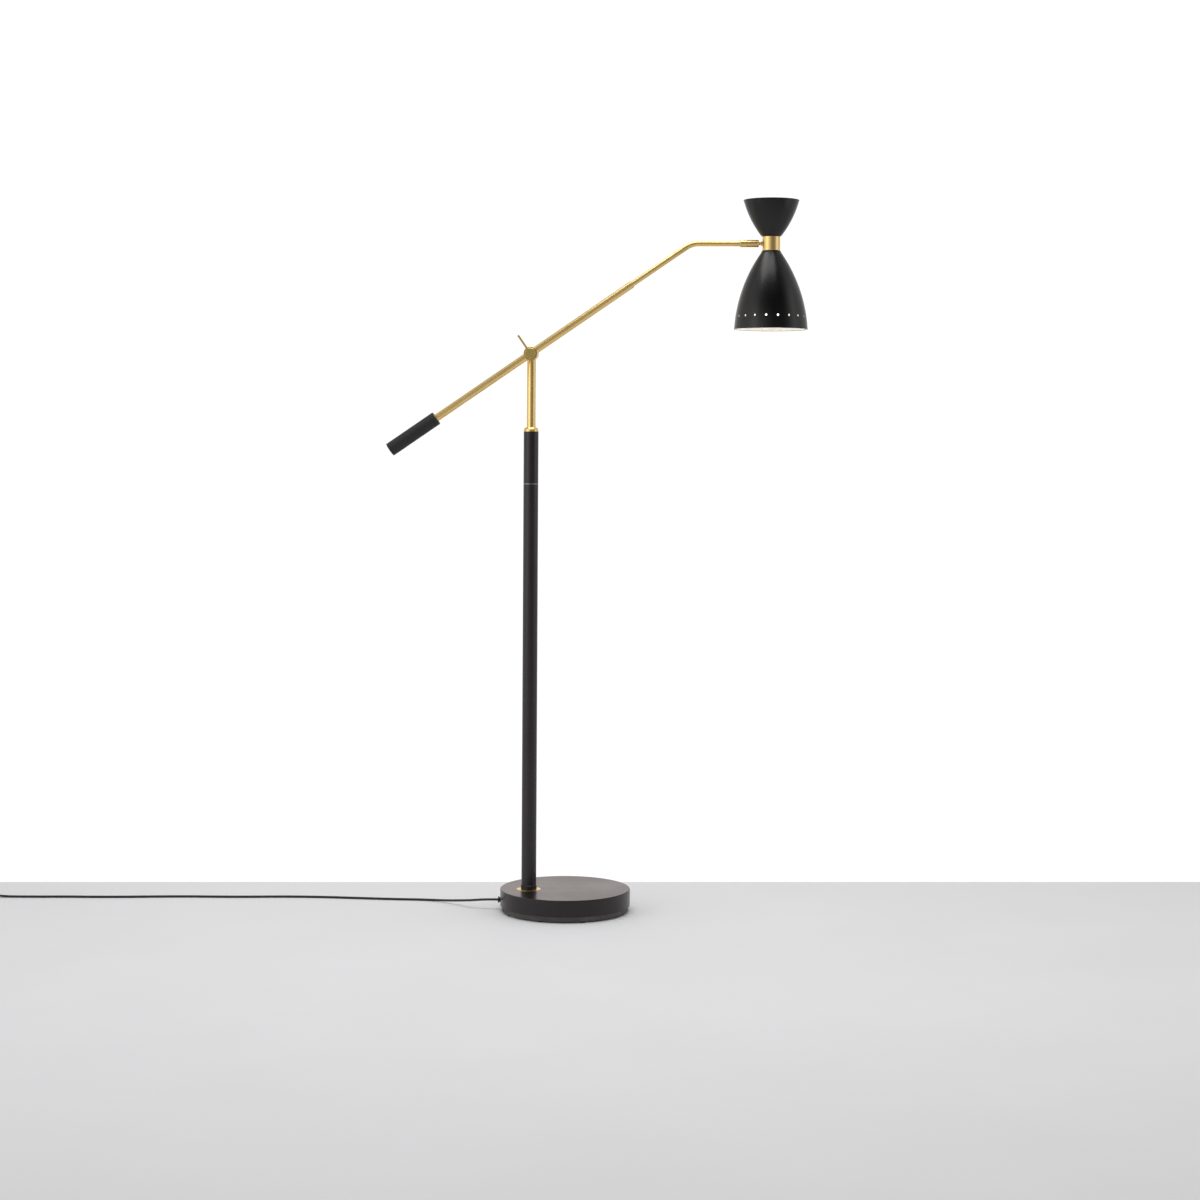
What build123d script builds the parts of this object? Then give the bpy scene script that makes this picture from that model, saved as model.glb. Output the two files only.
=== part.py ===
from build123d import *
import math
import os

# Adjustable arm floor lamp, in millimetres. +Z is up, the origin is on the floor at the centre of the
# round base, +X runs towards the lamp head and -Y is the front, where the clamp knob is.

os.makedirs("parts", exist_ok=True)

# ---- Base ----
BASE_R = 140.0
BASE_TOP = 48.0
COVER_WALL = 1.5
COVER_RIM_Z = 13.0
COVER_EDGE_R = 2.0
FOOT_H = 2.0
FOOT_R = 7.0
FOOT_RING_R = 129.0
FOOT_COUNT = 9
FOOT_START = -70.0
CENTRE_FOOT_R = 18.0
WEIGHT_R = 136.5
WEIGHT_STEP_R = 138.3
WEIGHT_STEP_TOP = 18.0
WEIGHT_CORE_R = 120.0
WEIGHT_CORE_TOP = 30.0
WEIGHT_EDGE = 1.0
PLATE_R = 104.0
PLATE_H = 1.0
PLATE_SCREW_RING_R = 95.0
PLATE_SCREW_COUNT = 3
SCREW_HEAD_R = 3.6
SCREW_HEAD_H = 1.2
SCREW_R = 1.95

# ---- Pole, standing off the base's centre ----
POLE_OFFSET = 79.5
POLE_ANGLE = 194.0
POLE_X = POLE_OFFSET * math.cos(math.radians(POLE_ANGLE))
POLE_Y = POLE_OFFSET * math.sin(math.radians(POLE_ANGLE))
PLATE_SCREW_START = POLE_ANGLE - 180
POLE_R = 16.0
POLE_BORE_R = 14.5
POLE_SEAM_Z = 920.0
SEAM_H = 1.0
POLE_TOP = 1033.0
FOOT_COLLAR_R = 17.1
FOOT_COLLAR_TOP = 58.0
RING_R = 25.8
RING_H = 1.2
RING_EDGE_H = 0.4
RING_FLAT = 2.5
STUD_R = 8.0
STUD_BORE_R = 5.0
STUD_BOTTOM = 11.0
STUD_TOP = 68.0
POCKET_R = 22.0
POCKET_TOP = 22.0
BOSS_R = 30.0
COLLAR_H = 9.0
BUSH_BOTTOM = 975.0
THRUST_H = 2.0
FIT = 0.05

# ---- Mast and tilting hinge ----
MAST_R = 9.5
MAST_BORE_R = 8.0
MAST_BOTTOM = 954.3
PIVOT_Z = 1200.0
HUB_R = 15.0
KNUCKLE_HALF = 9.8
WASHER_FRONT = 11.2
HUB_FRONT = 28.8
ARM_FRONT = (WASHER_FRONT + HUB_FRONT) / 2
KNOB_BACK = 29.1
KNOB_FRONT = 38.1
KNOB_R = 11.5
BOLT_R = 4.0
BOLT_END = 35.5
BOLT_HEAD_R = 7.5
BOLT_HEAD_H = 3.6
EDGE = 0.8
LEVER_R = 2.25
LEVER_REACH = 47.0

# ---- Arm ----
ARM_SLOPE = 34.5
ARM_R = 8.0
ARM_BORE_R = 6.8
ARM_SOCKET = 6.5
ARM_LENGTH = 260.0
SHOULDER_LENGTH = 4.0
EXT_R = 6.0
EXT_BORE_R = 5.0
EXT_START = 236.0
EXT_BEND_R = 50.0
EXT_Z = 1436.0
ARM_LEAD_R = 2.2
ARM_LEAD_START = 12.0
GRIP_R = 15.0
GRIP_START = 246.0
GRIP_END = 367.0
GRIP_BORE_R = 11.0
GRIP_WALL = 4.0
CAP_R = 12.4

# ---- Head ----
HEAD_REACH = 513.0
HEAD_X = POLE_X + HEAD_REACH
HEAD_Y = POLE_Y - ARM_FRONT
SLEEVE_START = HEAD_X - 66.2
SLEEVE_END = HEAD_X - 26.6
SLEEVE_R = 8.0
SLEEVE_BORE_END = HEAD_X - 42.0
EXT_END = HEAD_X - 44.0
BALL_X = HEAD_X - 29.6
BALL_R = 6.0
SEAT_R = 6.06
STEM_R = 3.0
NECK_R = 19.0
NECK_BORE_R = 16.5
NECK_BOTTOM = EXT_Z - 15.0
NECK_TOP = EXT_Z + 15.0
SHADE_WALL = 1.0
LOWER_TOP_R = 18.5
LOWER_MID = (54.4, 1357.0)
LOWER_RIM_R = 78.4
LOWER_RIM_Z = 1253.0
UPPER_FLOOR_R = 20.6
UPPER_MID = (44.2, 1488.3)
UPPER_RIM_R = 59.4
UPPER_RIM_Z = 1528.5
PINHOLE_COUNT = 19
PINHOLE_R = 2.35
PINHOLE_Z = 1280.5
PINHOLE_START = -98.8
NIPPLE_R = 5.0
NIPPLE_BOTTOM = 1404.0
NIPPLE_LENGTH = 58.0
HEAD_NUT_H = 4.0
CAP_NUT_R = 8.5
CAP_NUT_H = 10.0
SOCKET_R = 17.0
SOCKET_BOTTOM = 1352.0
HEAD_LEAD_R = 2.0
HEAD_LEAD_BOTTOM = 1394.0
HEAD_LEAD_LENGTH = 60.0
BULB_R = 30.0
BULB_BOTTOM = 1271.5
BULB_NECK_R = 12.6
BULB_NECK_Z = 1353.0

# ---- Cord, foot switch and plug ----
CORD_R = 2.5
GLAND_Z = 21.0
GLAND_FACE_X = -145.2
SWITCH_X = -1345.0
SWITCH_Y = 41.0
SWITCH_LENGTH = 68.0
SWITCH_WIDTH = 32.0
SWITCH_CORD_Z = 8.0
SWITCH_RELIEF = 10.0
COIL_X = -1460.0
COIL_Y = 8.0
COIL_MEAN_R = 27.5
COIL_HALF_WIDTH = 7.5
COIL_H = 10.0
TAIL_Z = 7.5
PLUG_X = -1437.0
PLUG_Y = COIL_Y - COIL_MEAN_R - 2 * CORD_R

# The lead from the base to the foot switch, then the link from the switch to the coil.
LEAD_ROUTE = [
    (GLAND_FACE_X, 0, GLAND_Z),
    (-172, 0, GLAND_Z),
    (-207, 13, 15.6),
    (-239, 40, 9.4),
    (-273, 65, 4),
    (-316, 79, 2.5),
    (-370, 79, 2.5),
    (-434, 82, 2.5),
    (-500, 87.5, 2.5),
    (-566, 90.5, 2.5),
    (-633, 88, 2.5),
    (-700, 80, 2.5),
    (-768, 75, 2.5),
    (-836, 73.5, 2.5),
    (-905, 67, 2.5),
    (-973, 58, 2.5),
    (-1041, 52, 2.5),
    (-1106, 50, 2.5),
    (-1170, 44, 2.5),
    (-1228, 41, 2.5),
    (-1254, 40.8, 3.6),
    (-1278, 41, SWITCH_CORD_Z),
    (-1301, 41, SWITCH_CORD_Z),
]
LINK_ROUTE = [
    (-1389, 41, SWITCH_CORD_Z),
    (-1411, 41, SWITCH_CORD_Z),
    (-1434, 41.2, 3.4),
    (-1460, 40.5, 2.5),
]

# ---- Shared planes and helpers ----
POLE_AXIS = Axis((POLE_X, POLE_Y, 0), (0, 0, 1))
POLE_SECTION = Plane(origin=(POLE_X, POLE_Y, 0), x_dir=(1, 0, 0), z_dir=(0, -1, 0))
HEAD_AXIS = Axis((HEAD_X, HEAD_Y, 0), (0, 0, 1))
HEAD_SECTION = Plane(origin=(HEAD_X, HEAD_Y, 0), x_dir=(1, 0, 0), z_dir=(0, -1, 0))
ARM_DIR = Vector(math.cos(math.radians(ARM_SLOPE)), 0, math.sin(math.radians(ARM_SLOPE)))
ARM_ORIGIN = Vector(POLE_X, POLE_Y - ARM_FRONT, PIVOT_Z)
EXT_CORNER = ARM_ORIGIN + ARM_DIR * ((EXT_Z - PIVOT_Z) / ARM_DIR.Z)


def pole_plane(height):
    """A level plane on the pole's axis."""
    return Plane(origin=(POLE_X, POLE_Y, height), x_dir=(1, 0, 0), z_dir=(0, 0, 1))


def head_plane(height):
    """A level plane on the head's axis."""
    return Plane(origin=(HEAD_X, HEAD_Y, height), x_dir=(1, 0, 0), z_dir=(0, 0, 1))


def hinge_plane(front):
    """An upright plane across the hinge, so far in front of the mast's axis, facing the front."""
    return Plane(origin=(POLE_X, POLE_Y - front, PIVOT_Z), x_dir=(1, 0, 0), z_dir=(0, -1, 0))


def arm_plane(distance):
    """A plane square to the arm, so far from the hinge towards the head."""
    return Plane(origin=ARM_ORIGIN + ARM_DIR * distance, x_dir=(0, 1, 0), z_dir=ARM_DIR)


def neck_plane(x):
    """A plane square to the level end of the arm, facing the head."""
    return Plane(origin=(x, HEAD_Y, EXT_Z), x_dir=(0, 1, 0), z_dir=(1, 0, 0))


def tube(plane, outer_r, bore_r, length):
    """A plain tube or ring standing on a plane."""
    with BuildPart() as made:
        with BuildSketch(plane):
            Circle(outer_r)
            Circle(bore_r, mode=Mode.SUBTRACT)
        extrude(amount=length)
    return made


def rod(plane, radius, length):
    """A plain round rod standing on a plane."""
    with BuildPart() as made:
        with BuildSketch(plane):
            Circle(radius)
        extrude(amount=length)
    return made


def hex_nut(plane, across_flats, bore_r, length):
    """A hexagon nut standing on a plane."""
    with BuildPart() as made:
        with BuildSketch(plane):
            RegularPolygon(radius=across_flats / 2, side_count=6, major_radius=False)
            Circle(bore_r, mode=Mode.SUBTRACT)
        extrude(amount=length)
    return made


def turned(section_plane, axis, outline):
    """A turned piece from the corners of its section, as (radius, height)."""
    with BuildPart() as made:
        with BuildSketch(section_plane):
            with BuildLine():
                Polyline(*outline, close=True)
            make_face()
        revolve(axis=axis)
    return made


def corner_radii(route):
    """One arc for each corner of a cord's route, as large as its two runs allow."""
    points = [Vector(*p) for p in route]
    radii = []
    for before, here, after in zip(points, points[1:], points[2:]):
        turn = math.radians((here - before).get_angle(after - here))
        shorter = min((here - before).length, (after - here).length)
        radii.append(0.45 * shorter / math.tan(turn / 2))
    return radii


def cord_tube(name, route):
    """A round cord along straight runs joined by tangent arcs."""
    radii = corner_radii(route)
    print(name, "arc radii", [round(r) for r in radii])
    with BuildPart() as made:
        with BuildLine() as path:
            FilletPolyline(*route, radius=radii)
        with BuildSketch(Plane(origin=path.line @ 0, z_dir=path.line % 0)):
            Circle(CORD_R)
        sweep()
    length = path.wire().length
    fullness = made.part.volume / (math.pi * CORD_R**2 * length)
    print(name, "length", round(length), "volume over section x length", round(fullness, 4))
    return made


# ================================================================ base

with BuildPart() as base_weight:
    with BuildSketch(Plane.XZ):
        with BuildLine():
            Polyline(
                (0, FOOT_H),
                (WEIGHT_R - WEIGHT_EDGE, FOOT_H),
                (WEIGHT_R, FOOT_H + WEIGHT_EDGE),
                (WEIGHT_R, COVER_RIM_Z),
                (WEIGHT_STEP_R, COVER_RIM_Z),
                (WEIGHT_STEP_R, WEIGHT_STEP_TOP),
                (WEIGHT_CORE_R, WEIGHT_STEP_TOP),
                (WEIGHT_CORE_R, WEIGHT_CORE_TOP),
                (0, WEIGHT_CORE_TOP),
                close=True,
            )
        make_face()
    revolve(axis=Axis.Z)
    # boss that carries the pole through to the cover
    with BuildSketch(pole_plane(WEIGHT_CORE_TOP)):
        Circle(BOSS_R)
    extrude(amount=BASE_TOP - COVER_WALL - WEIGHT_CORE_TOP)
    # pocket for the nut, and the hole for the stud
    with BuildSketch(pole_plane(FOOT_H)):
        Circle(POCKET_R)
    extrude(amount=POCKET_TOP - FOOT_H, mode=Mode.SUBTRACT)
    with BuildSketch(pole_plane(FOOT_H)):
        Circle(STUD_R + 0.3)
    extrude(amount=BASE_TOP, mode=Mode.SUBTRACT)
    # channel for the cord, from the pocket to the space behind the gland
    with BuildSketch(Plane.XY.offset(4)):
        with BuildLine():
            Line((POLE_X, POLE_Y), (-132, 0))
        trace(line_width=9)
    extrude(amount=22, mode=Mode.SUBTRACT)
    # room for the gland's inner flange
    with BuildSketch(Plane(origin=(-BASE_R, 0, GLAND_Z), z_dir=(1, 0, 0))):
        Circle(7.5)
    extrude(amount=14, mode=Mode.SUBTRACT)
    # recess for the bottom plate, and one for each foot
    with BuildSketch(Plane.XY.offset(FOOT_H)):
        Circle(PLATE_R + 0.3)
        with PolarLocations(FOOT_RING_R, FOOT_COUNT, start_angle=FOOT_START):
            Circle(FOOT_R + 0.2)
    extrude(amount=PLATE_H, mode=Mode.SUBTRACT)
    # threaded holes for the plate's screws
    with BuildSketch(Plane.XY.offset(FOOT_H)):
        with PolarLocations(PLATE_SCREW_RING_R, PLATE_SCREW_COUNT, start_angle=PLATE_SCREW_START):
            Circle(SCREW_R + FIT)
    extrude(amount=10, mode=Mode.SUBTRACT)
base_weight.part.label = "base_weight"
export_step(base_weight.part, "parts/base_weight.step")

with BuildPart() as base_cover:
    with BuildSketch(Plane.XZ):
        with BuildLine():
            outside = FilletPolyline(
                (0, BASE_TOP), (BASE_R, BASE_TOP), (BASE_R, COVER_RIM_Z), radius=COVER_EDGE_R
            )
            inside = FilletPolyline(
                (0, BASE_TOP - COVER_WALL),
                (BASE_R - COVER_WALL, BASE_TOP - COVER_WALL),
                (BASE_R - COVER_WALL, COVER_RIM_Z),
                radius=COVER_EDGE_R - COVER_WALL,
            )
            Line(outside @ 0, inside @ 0)
            Line(outside @ 1, inside @ 1)
        make_face()
    revolve(axis=Axis.Z)
    with BuildSketch(pole_plane(BASE_TOP - 2 * COVER_WALL)):
        Circle(STUD_R + 0.3)
    extrude(amount=3 * COVER_WALL, mode=Mode.SUBTRACT)
    with BuildSketch(Plane(origin=(-BASE_R - 1, 0, GLAND_Z), z_dir=(1, 0, 0))):
        Circle(4.2)
    extrude(amount=4, mode=Mode.SUBTRACT)
base_cover.part.label = "base_cover"
export_step(base_cover.part, "parts/base_cover.step")

with BuildPart() as base_plate:
    with BuildSketch(Plane.XY.offset(FOOT_H)):
        Circle(PLATE_R)
        with PolarLocations(PLATE_SCREW_RING_R, PLATE_SCREW_COUNT, start_angle=PLATE_SCREW_START):
            Circle(SCREW_R + 0.25, mode=Mode.SUBTRACT)
    extrude(amount=PLATE_H)
base_plate.part.label = "base_plate"
export_step(base_plate.part, "parts/base_plate.step")

with BuildPart() as plate_screws:
    with BuildSketch(Plane.XY.offset(FOOT_H - SCREW_HEAD_H)):
        with PolarLocations(PLATE_SCREW_RING_R, PLATE_SCREW_COUNT, start_angle=PLATE_SCREW_START):
            Circle(SCREW_HEAD_R)
    extrude(amount=SCREW_HEAD_H)
    with BuildSketch(Plane.XY.offset(FOOT_H)):
        with PolarLocations(PLATE_SCREW_RING_R, PLATE_SCREW_COUNT, start_angle=PLATE_SCREW_START):
            Circle(SCREW_R)
    extrude(amount=9)
plate_screws.part.label = "plate_screws"
export_step(plate_screws.part, "parts/plate_screws.step")

with BuildPart() as base_feet:
    with BuildSketch(Plane.XY):
        with PolarLocations(FOOT_RING_R, FOOT_COUNT, start_angle=FOOT_START):
            Circle(FOOT_R)
    extrude(amount=FOOT_H + PLATE_H)
    with BuildSketch(Plane.XY):
        Circle(CENTRE_FOOT_R)
    extrude(amount=FOOT_H)
    chamfer(base_feet.faces().sort_by(Axis.Z)[: FOOT_COUNT + 1].edges(), 0.5)
base_feet.part.label = "base_feet"
export_step(base_feet.part, "parts/base_feet.step")

with BuildPart() as cord_grommet:
    with BuildSketch(Plane(origin=(0, 0, GLAND_Z), x_dir=(-1, 0, 0), z_dir=(0, 1, 0))):
        with BuildLine():
            Polyline(
                (134.0, 2.6),
                (134.0, 6.5),
                (137.2, 6.5),
                (137.2, 4.0),
                (140.1, 4.0),
                (140.1, 5.0),
                (142.6, 5.2),
                (142.6, 6.4),
                (143.0, 6.8),
                (144.8, 6.8),
                (145.2, 6.4),
                (145.2, 2.6),
                close=True,
            )
        make_face()
    revolve(axis=Axis((0, 0, GLAND_Z), (-1, 0, 0)))
cord_grommet.part.label = "cord_grommet"
export_step(cord_grommet.part, "parts/cord_grommet.step")

# ================================================================ pole

pole_stud = turned(
    POLE_SECTION,
    POLE_AXIS,
    [
        (STUD_BORE_R + 1, STUD_BOTTOM),
        (STUD_R, STUD_BOTTOM),
        (STUD_R, BASE_TOP),
        (POLE_BORE_R, BASE_TOP),
        (POLE_BORE_R, STUD_TOP),
        (STUD_BORE_R, STUD_TOP),
        (STUD_BORE_R, STUD_BOTTOM + 1),
    ],
)
pole_stud.part.label = "pole_stud"
export_step(pole_stud.part, "parts/pole_stud.step")

pole_washer = tube(pole_plane(POCKET_TOP - 2.5), 18, STUD_R + 0.2, 2.5)
pole_washer.part.label = "pole_washer"
export_step(pole_washer.part, "parts/pole_washer.step")

pole_nut = hex_nut(pole_plane(POCKET_TOP - 10), 24, STUD_R + FIT, 7.5)
pole_nut.part.label = "pole_nut"
export_step(pole_nut.part, "parts/pole_nut.step")

escutcheon_ring = turned(
    POLE_SECTION,
    POLE_AXIS,
    [
        (FOOT_COLLAR_R + FIT, BASE_TOP),
        (RING_R, BASE_TOP),
        (RING_R, BASE_TOP + RING_EDGE_H),
        (FOOT_COLLAR_R + RING_FLAT, BASE_TOP + RING_H),
        (FOOT_COLLAR_R + FIT, BASE_TOP + RING_H),
    ],
)
escutcheon_ring.part.label = "escutcheon_ring"
export_step(escutcheon_ring.part, "parts/escutcheon_ring.step")

pole_foot_collar = turned(
    POLE_SECTION,
    POLE_AXIS,
    [
        (POLE_R + FIT, BASE_TOP),
        (FOOT_COLLAR_R, BASE_TOP),
        (FOOT_COLLAR_R, FOOT_COLLAR_TOP - 0.7),
        (FOOT_COLLAR_R - 0.7, FOOT_COLLAR_TOP),
        (POLE_R + FIT, FOOT_COLLAR_TOP),
    ],
)
pole_foot_collar.part.label = "pole_foot_collar"
export_step(pole_foot_collar.part, "parts/pole_foot_collar.step")

pole_lower = tube(pole_plane(BASE_TOP), POLE_R, POLE_BORE_R, POLE_SEAM_Z - BASE_TOP)
pole_lower.part.label = "pole_lower"
export_step(pole_lower.part, "parts/pole_lower.step")

POLE_UPPER_Z = POLE_SEAM_Z + SEAM_H
pole_upper = tube(pole_plane(POLE_UPPER_Z), POLE_R, POLE_BORE_R, POLE_TOP - POLE_UPPER_Z)
pole_upper.part.label = "pole_upper"
export_step(pole_upper.part, "parts/pole_upper.step")

COUPLER_TOP = MAST_BOTTOM - THRUST_H - 0.3
pole_coupler = turned(
    POLE_SECTION,
    POLE_AXIS,
    [
        (12.5, POLE_SEAM_Z - 30),
        (POLE_BORE_R - FIT, POLE_SEAM_Z - 30),
        (POLE_BORE_R - FIT, POLE_SEAM_Z),
        (POLE_R - 0.1, POLE_SEAM_Z),
        (POLE_R - 0.1, POLE_UPPER_Z),
        (POLE_BORE_R - FIT, POLE_UPPER_Z),
        (POLE_BORE_R - FIT, COUPLER_TOP),
        (12.5, COUPLER_TOP),
    ],
)
pole_coupler.part.label = "pole_coupler"
export_step(pole_coupler.part, "parts/pole_coupler.step")

thrust_washer = tube(pole_plane(COUPLER_TOP), POLE_BORE_R - 0.2, MAST_R + 1, THRUST_H)
thrust_washer.part.label = "thrust_washer"
export_step(thrust_washer.part, "parts/thrust_washer.step")

swivel_bush = tube(pole_plane(BUSH_BOTTOM), POLE_BORE_R - FIT, MAST_R + FIT, POLE_TOP - BUSH_BOTTOM)
swivel_bush.part.label = "swivel_bush"
export_step(swivel_bush.part, "parts/swivel_bush.step")

pole_collar = turned(
    POLE_SECTION,
    POLE_AXIS,
    [
        (MAST_R + 0.3, POLE_TOP),
        (POLE_R - 0.3, POLE_TOP),
        (POLE_R - 0.3, POLE_TOP + 5),
        (POLE_R - 1, POLE_TOP + 6.2),
        (MAST_R + 2.2, POLE_TOP + COLLAR_H),
        (MAST_R + 0.3, POLE_TOP + COLLAR_H),
    ],
)
pole_collar.part.label = "pole_collar"
export_step(pole_collar.part, "parts/pole_collar.step")

# The lead inside the base and the pole, held all the way.
with BuildPart() as pole_lead:
    with BuildLine() as pole_lead_path:
        FilletPolyline(
            (GLAND_FACE_X, 0, GLAND_Z),
            (-132, 0, GLAND_Z),
            (POLE_X - 38.1, POLE_Y + 12.1, 16),
            (POLE_X - 22.9, POLE_Y + 7.3, 7.2),
            (POLE_X, POLE_Y, 6.7),
            (POLE_X, POLE_Y, POLE_SEAM_Z + 28),
            radius=[20, 15, 15, 9],
        )
    with BuildSketch(Plane(origin=pole_lead_path.line @ 0, z_dir=pole_lead_path.line % 0)):
        Circle(CORD_R)
    sweep()
pole_lead.part.label = "pole_lead"
export_step(pole_lead.part, "parts/pole_lead.step")

# ================================================================ mast and hinge

with BuildPart() as mast_tube:
    with BuildSketch(pole_plane(MAST_BOTTOM)):
        Circle(MAST_R)
        Circle(MAST_BORE_R, mode=Mode.SUBTRACT)
    extrude(amount=PIVOT_Z - MAST_BOTTOM)
    # the top is coped to sit on the round knuckle
    with BuildSketch(hinge_plane(-3 * MAST_R)):
        Circle(HUB_R)
    extrude(amount=6 * MAST_R, mode=Mode.SUBTRACT)
mast_tube.part.label = "mast_tube"
export_step(mast_tube.part, "parts/mast_tube.step")

mast_retainer = tube(pole_plane(MAST_BOTTOM), 13.5, MAST_R, 16)
mast_retainer.part.label = "mast_retainer"
export_step(mast_retainer.part, "parts/mast_retainer.step")

with BuildPart() as mast_knuckle:
    with BuildSketch(hinge_plane(-KNUCKLE_HALF)):
        Circle(HUB_R)
    extrude(amount=2 * KNUCKLE_HALF)
    chamfer(mast_knuckle.edges().filter_by(GeomType.CIRCLE), EDGE)
    with BuildSketch(pole_plane(PIVOT_Z - 45)):
        Circle(MAST_BORE_R - FIT)
    extrude(amount=35)
    with BuildSketch(pole_plane(PIVOT_Z - 45)):
        Circle(4)
    extrude(amount=34, mode=Mode.SUBTRACT)
    with BuildSketch(hinge_plane(-KNUCKLE_HALF)):
        Circle(BOLT_R + 0.02)
    extrude(amount=2 * KNUCKLE_HALF, mode=Mode.SUBTRACT)
mast_knuckle.part.label = "mast_knuckle"
export_step(mast_knuckle.part, "parts/mast_knuckle.step")

with BuildPart() as hinge_bolt:
    with BuildSketch(hinge_plane(-KNUCKLE_HALF)):
        Circle(BOLT_R)
    extrude(amount=KNUCKLE_HALF + BOLT_END)
    with BuildSketch(hinge_plane(-KNUCKLE_HALF)):
        Circle(BOLT_HEAD_R)
    extrude(amount=-BOLT_HEAD_H)
    fillet(hinge_bolt.edges().sort_by(Axis.Y)[-1], 2.4)
    chamfer(hinge_bolt.edges().sort_by(Axis.Y)[0], 0.6)
hinge_bolt.part.label = "hinge_bolt"
export_step(hinge_bolt.part, "parts/hinge_bolt.step")

mast_lead = rod(pole_plane(MAST_BOTTOM + 8), CORD_R, PIVOT_Z - 13 - MAST_BOTTOM - 8)
mast_lead.part.label = "mast_lead"
export_step(mast_lead.part, "parts/mast_lead.step")

friction_washer = tube(
    hinge_plane(KNUCKLE_HALF + 0.2), HUB_R - 1, BOLT_R + 0.1, WASHER_FRONT - KNUCKLE_HALF - 0.2
)
friction_washer.part.label = "friction_washer"
export_step(friction_washer.part, "parts/friction_washer.step")

with BuildPart() as arm_hub:
    with BuildSketch(hinge_plane(WASHER_FRONT)):
        Circle(HUB_R)
    extrude(amount=HUB_FRONT - WASHER_FRONT)
    chamfer(arm_hub.edges().filter_by(GeomType.CIRCLE), EDGE)
    with BuildSketch(hinge_plane(WASHER_FRONT)):
        Circle(BOLT_R + FIT)
    extrude(amount=HUB_FRONT - WASHER_FRONT, mode=Mode.SUBTRACT)
    for side in (1, -1):
        with BuildSketch(arm_plane(side * ARM_SOCKET)):
            Circle(ARM_R)
        extrude(amount=side * HUB_R, mode=Mode.SUBTRACT)
arm_hub.part.label = "arm_hub"
export_step(arm_hub.part, "parts/arm_hub.step")

with BuildPart() as clamp_knob:
    with BuildSketch(hinge_plane(KNOB_BACK)):
        Circle(KNOB_R)
    extrude(amount=KNOB_FRONT - KNOB_BACK)
    chamfer(clamp_knob.edges().filter_by(GeomType.CIRCLE), EDGE)
    with BuildSketch(hinge_plane(KNOB_BACK)):
        Circle(BOLT_R + FIT)
    extrude(amount=BOLT_END - KNOB_BACK + 0.5, mode=Mode.SUBTRACT)
    # radial hole for the lever, square to the arm
    LEVER_DIR = Vector(-ARM_DIR.Z, 0, ARM_DIR.X)
    LEVER_Y = POLE_Y - (KNOB_BACK + KNOB_FRONT) / 2
    LEVER_ORIGIN = Vector(POLE_X, LEVER_Y, PIVOT_Z) + LEVER_DIR * 6
    with BuildSketch(Plane(origin=LEVER_ORIGIN, x_dir=(0, 1, 0), z_dir=LEVER_DIR)):
        Circle(LEVER_R)
    extrude(amount=HUB_R, mode=Mode.SUBTRACT)
clamp_knob.part.label = "clamp_knob"
export_step(clamp_knob.part, "parts/clamp_knob.step")

with BuildPart() as clamp_lever:
    with BuildSketch(Plane(origin=LEVER_ORIGIN, x_dir=(0, 1, 0), z_dir=LEVER_DIR)):
        Circle(LEVER_R)
    extrude(amount=LEVER_REACH - 6)
    fillet(clamp_lever.faces().sort_by(Axis.Z)[-1].edges(), 1.2)
clamp_lever.part.label = "clamp_lever"
export_step(clamp_lever.part, "parts/clamp_lever.step")

# ================================================================ arm

arm_tube_front = tube(arm_plane(ARM_SOCKET), ARM_R, ARM_BORE_R, ARM_LENGTH - ARM_SOCKET)
arm_tube_front.part.label = "arm_tube_front"
export_step(arm_tube_front.part, "parts/arm_tube_front.step")

arm_tube_rear = tube(arm_plane(-ARM_SOCKET), ARM_R, ARM_BORE_R, ARM_SOCKET - GRIP_END + 7)
arm_tube_rear.part.label = "arm_tube_rear"
export_step(arm_tube_rear.part, "parts/arm_tube_rear.step")

with BuildPart() as arm_shoulder:
    with BuildSketch(arm_plane(ARM_LENGTH)):
        Circle(ARM_R)
    extrude(amount=SHOULDER_LENGTH)
    chamfer(arm_shoulder.edges().group_by(Axis.X)[-1], 1.6)
    with BuildSketch(arm_plane(ARM_LENGTH)):
        Circle(ARM_BORE_R - FIT)
    extrude(amount=-16)
    with BuildSketch(arm_plane(ARM_LENGTH + SHOULDER_LENGTH)):
        Circle(EXT_R + 0.02)
    extrude(amount=-SHOULDER_LENGTH - 16, mode=Mode.SUBTRACT)
arm_shoulder.part.label = "arm_shoulder"
export_step(arm_shoulder.part, "parts/arm_shoulder.step")

with BuildPart() as arm_extension:
    with BuildLine() as extension_path:
        FilletPolyline(
            ARM_ORIGIN + ARM_DIR * EXT_START,
            EXT_CORNER,
            (EXT_END, HEAD_Y, EXT_Z),
            radius=EXT_BEND_R,
        )
    with BuildSketch(arm_plane(EXT_START)):
        Circle(EXT_R)
        Circle(EXT_BORE_R, mode=Mode.SUBTRACT)
    sweep()
arm_extension.part.label = "arm_extension"
export_step(arm_extension.part, "parts/arm_extension.step")

with BuildPart() as arm_lead:
    with BuildLine() as arm_lead_path:
        FilletPolyline(
            ARM_ORIGIN + ARM_DIR * ARM_LEAD_START,
            EXT_CORNER,
            (EXT_END - 4, HEAD_Y, EXT_Z),
            radius=EXT_BEND_R,
        )
    with BuildSketch(arm_plane(ARM_LEAD_START)):
        Circle(ARM_LEAD_R)
    sweep()
arm_lead.part.label = "arm_lead"
export_step(arm_lead.part, "parts/arm_lead.step")

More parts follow.
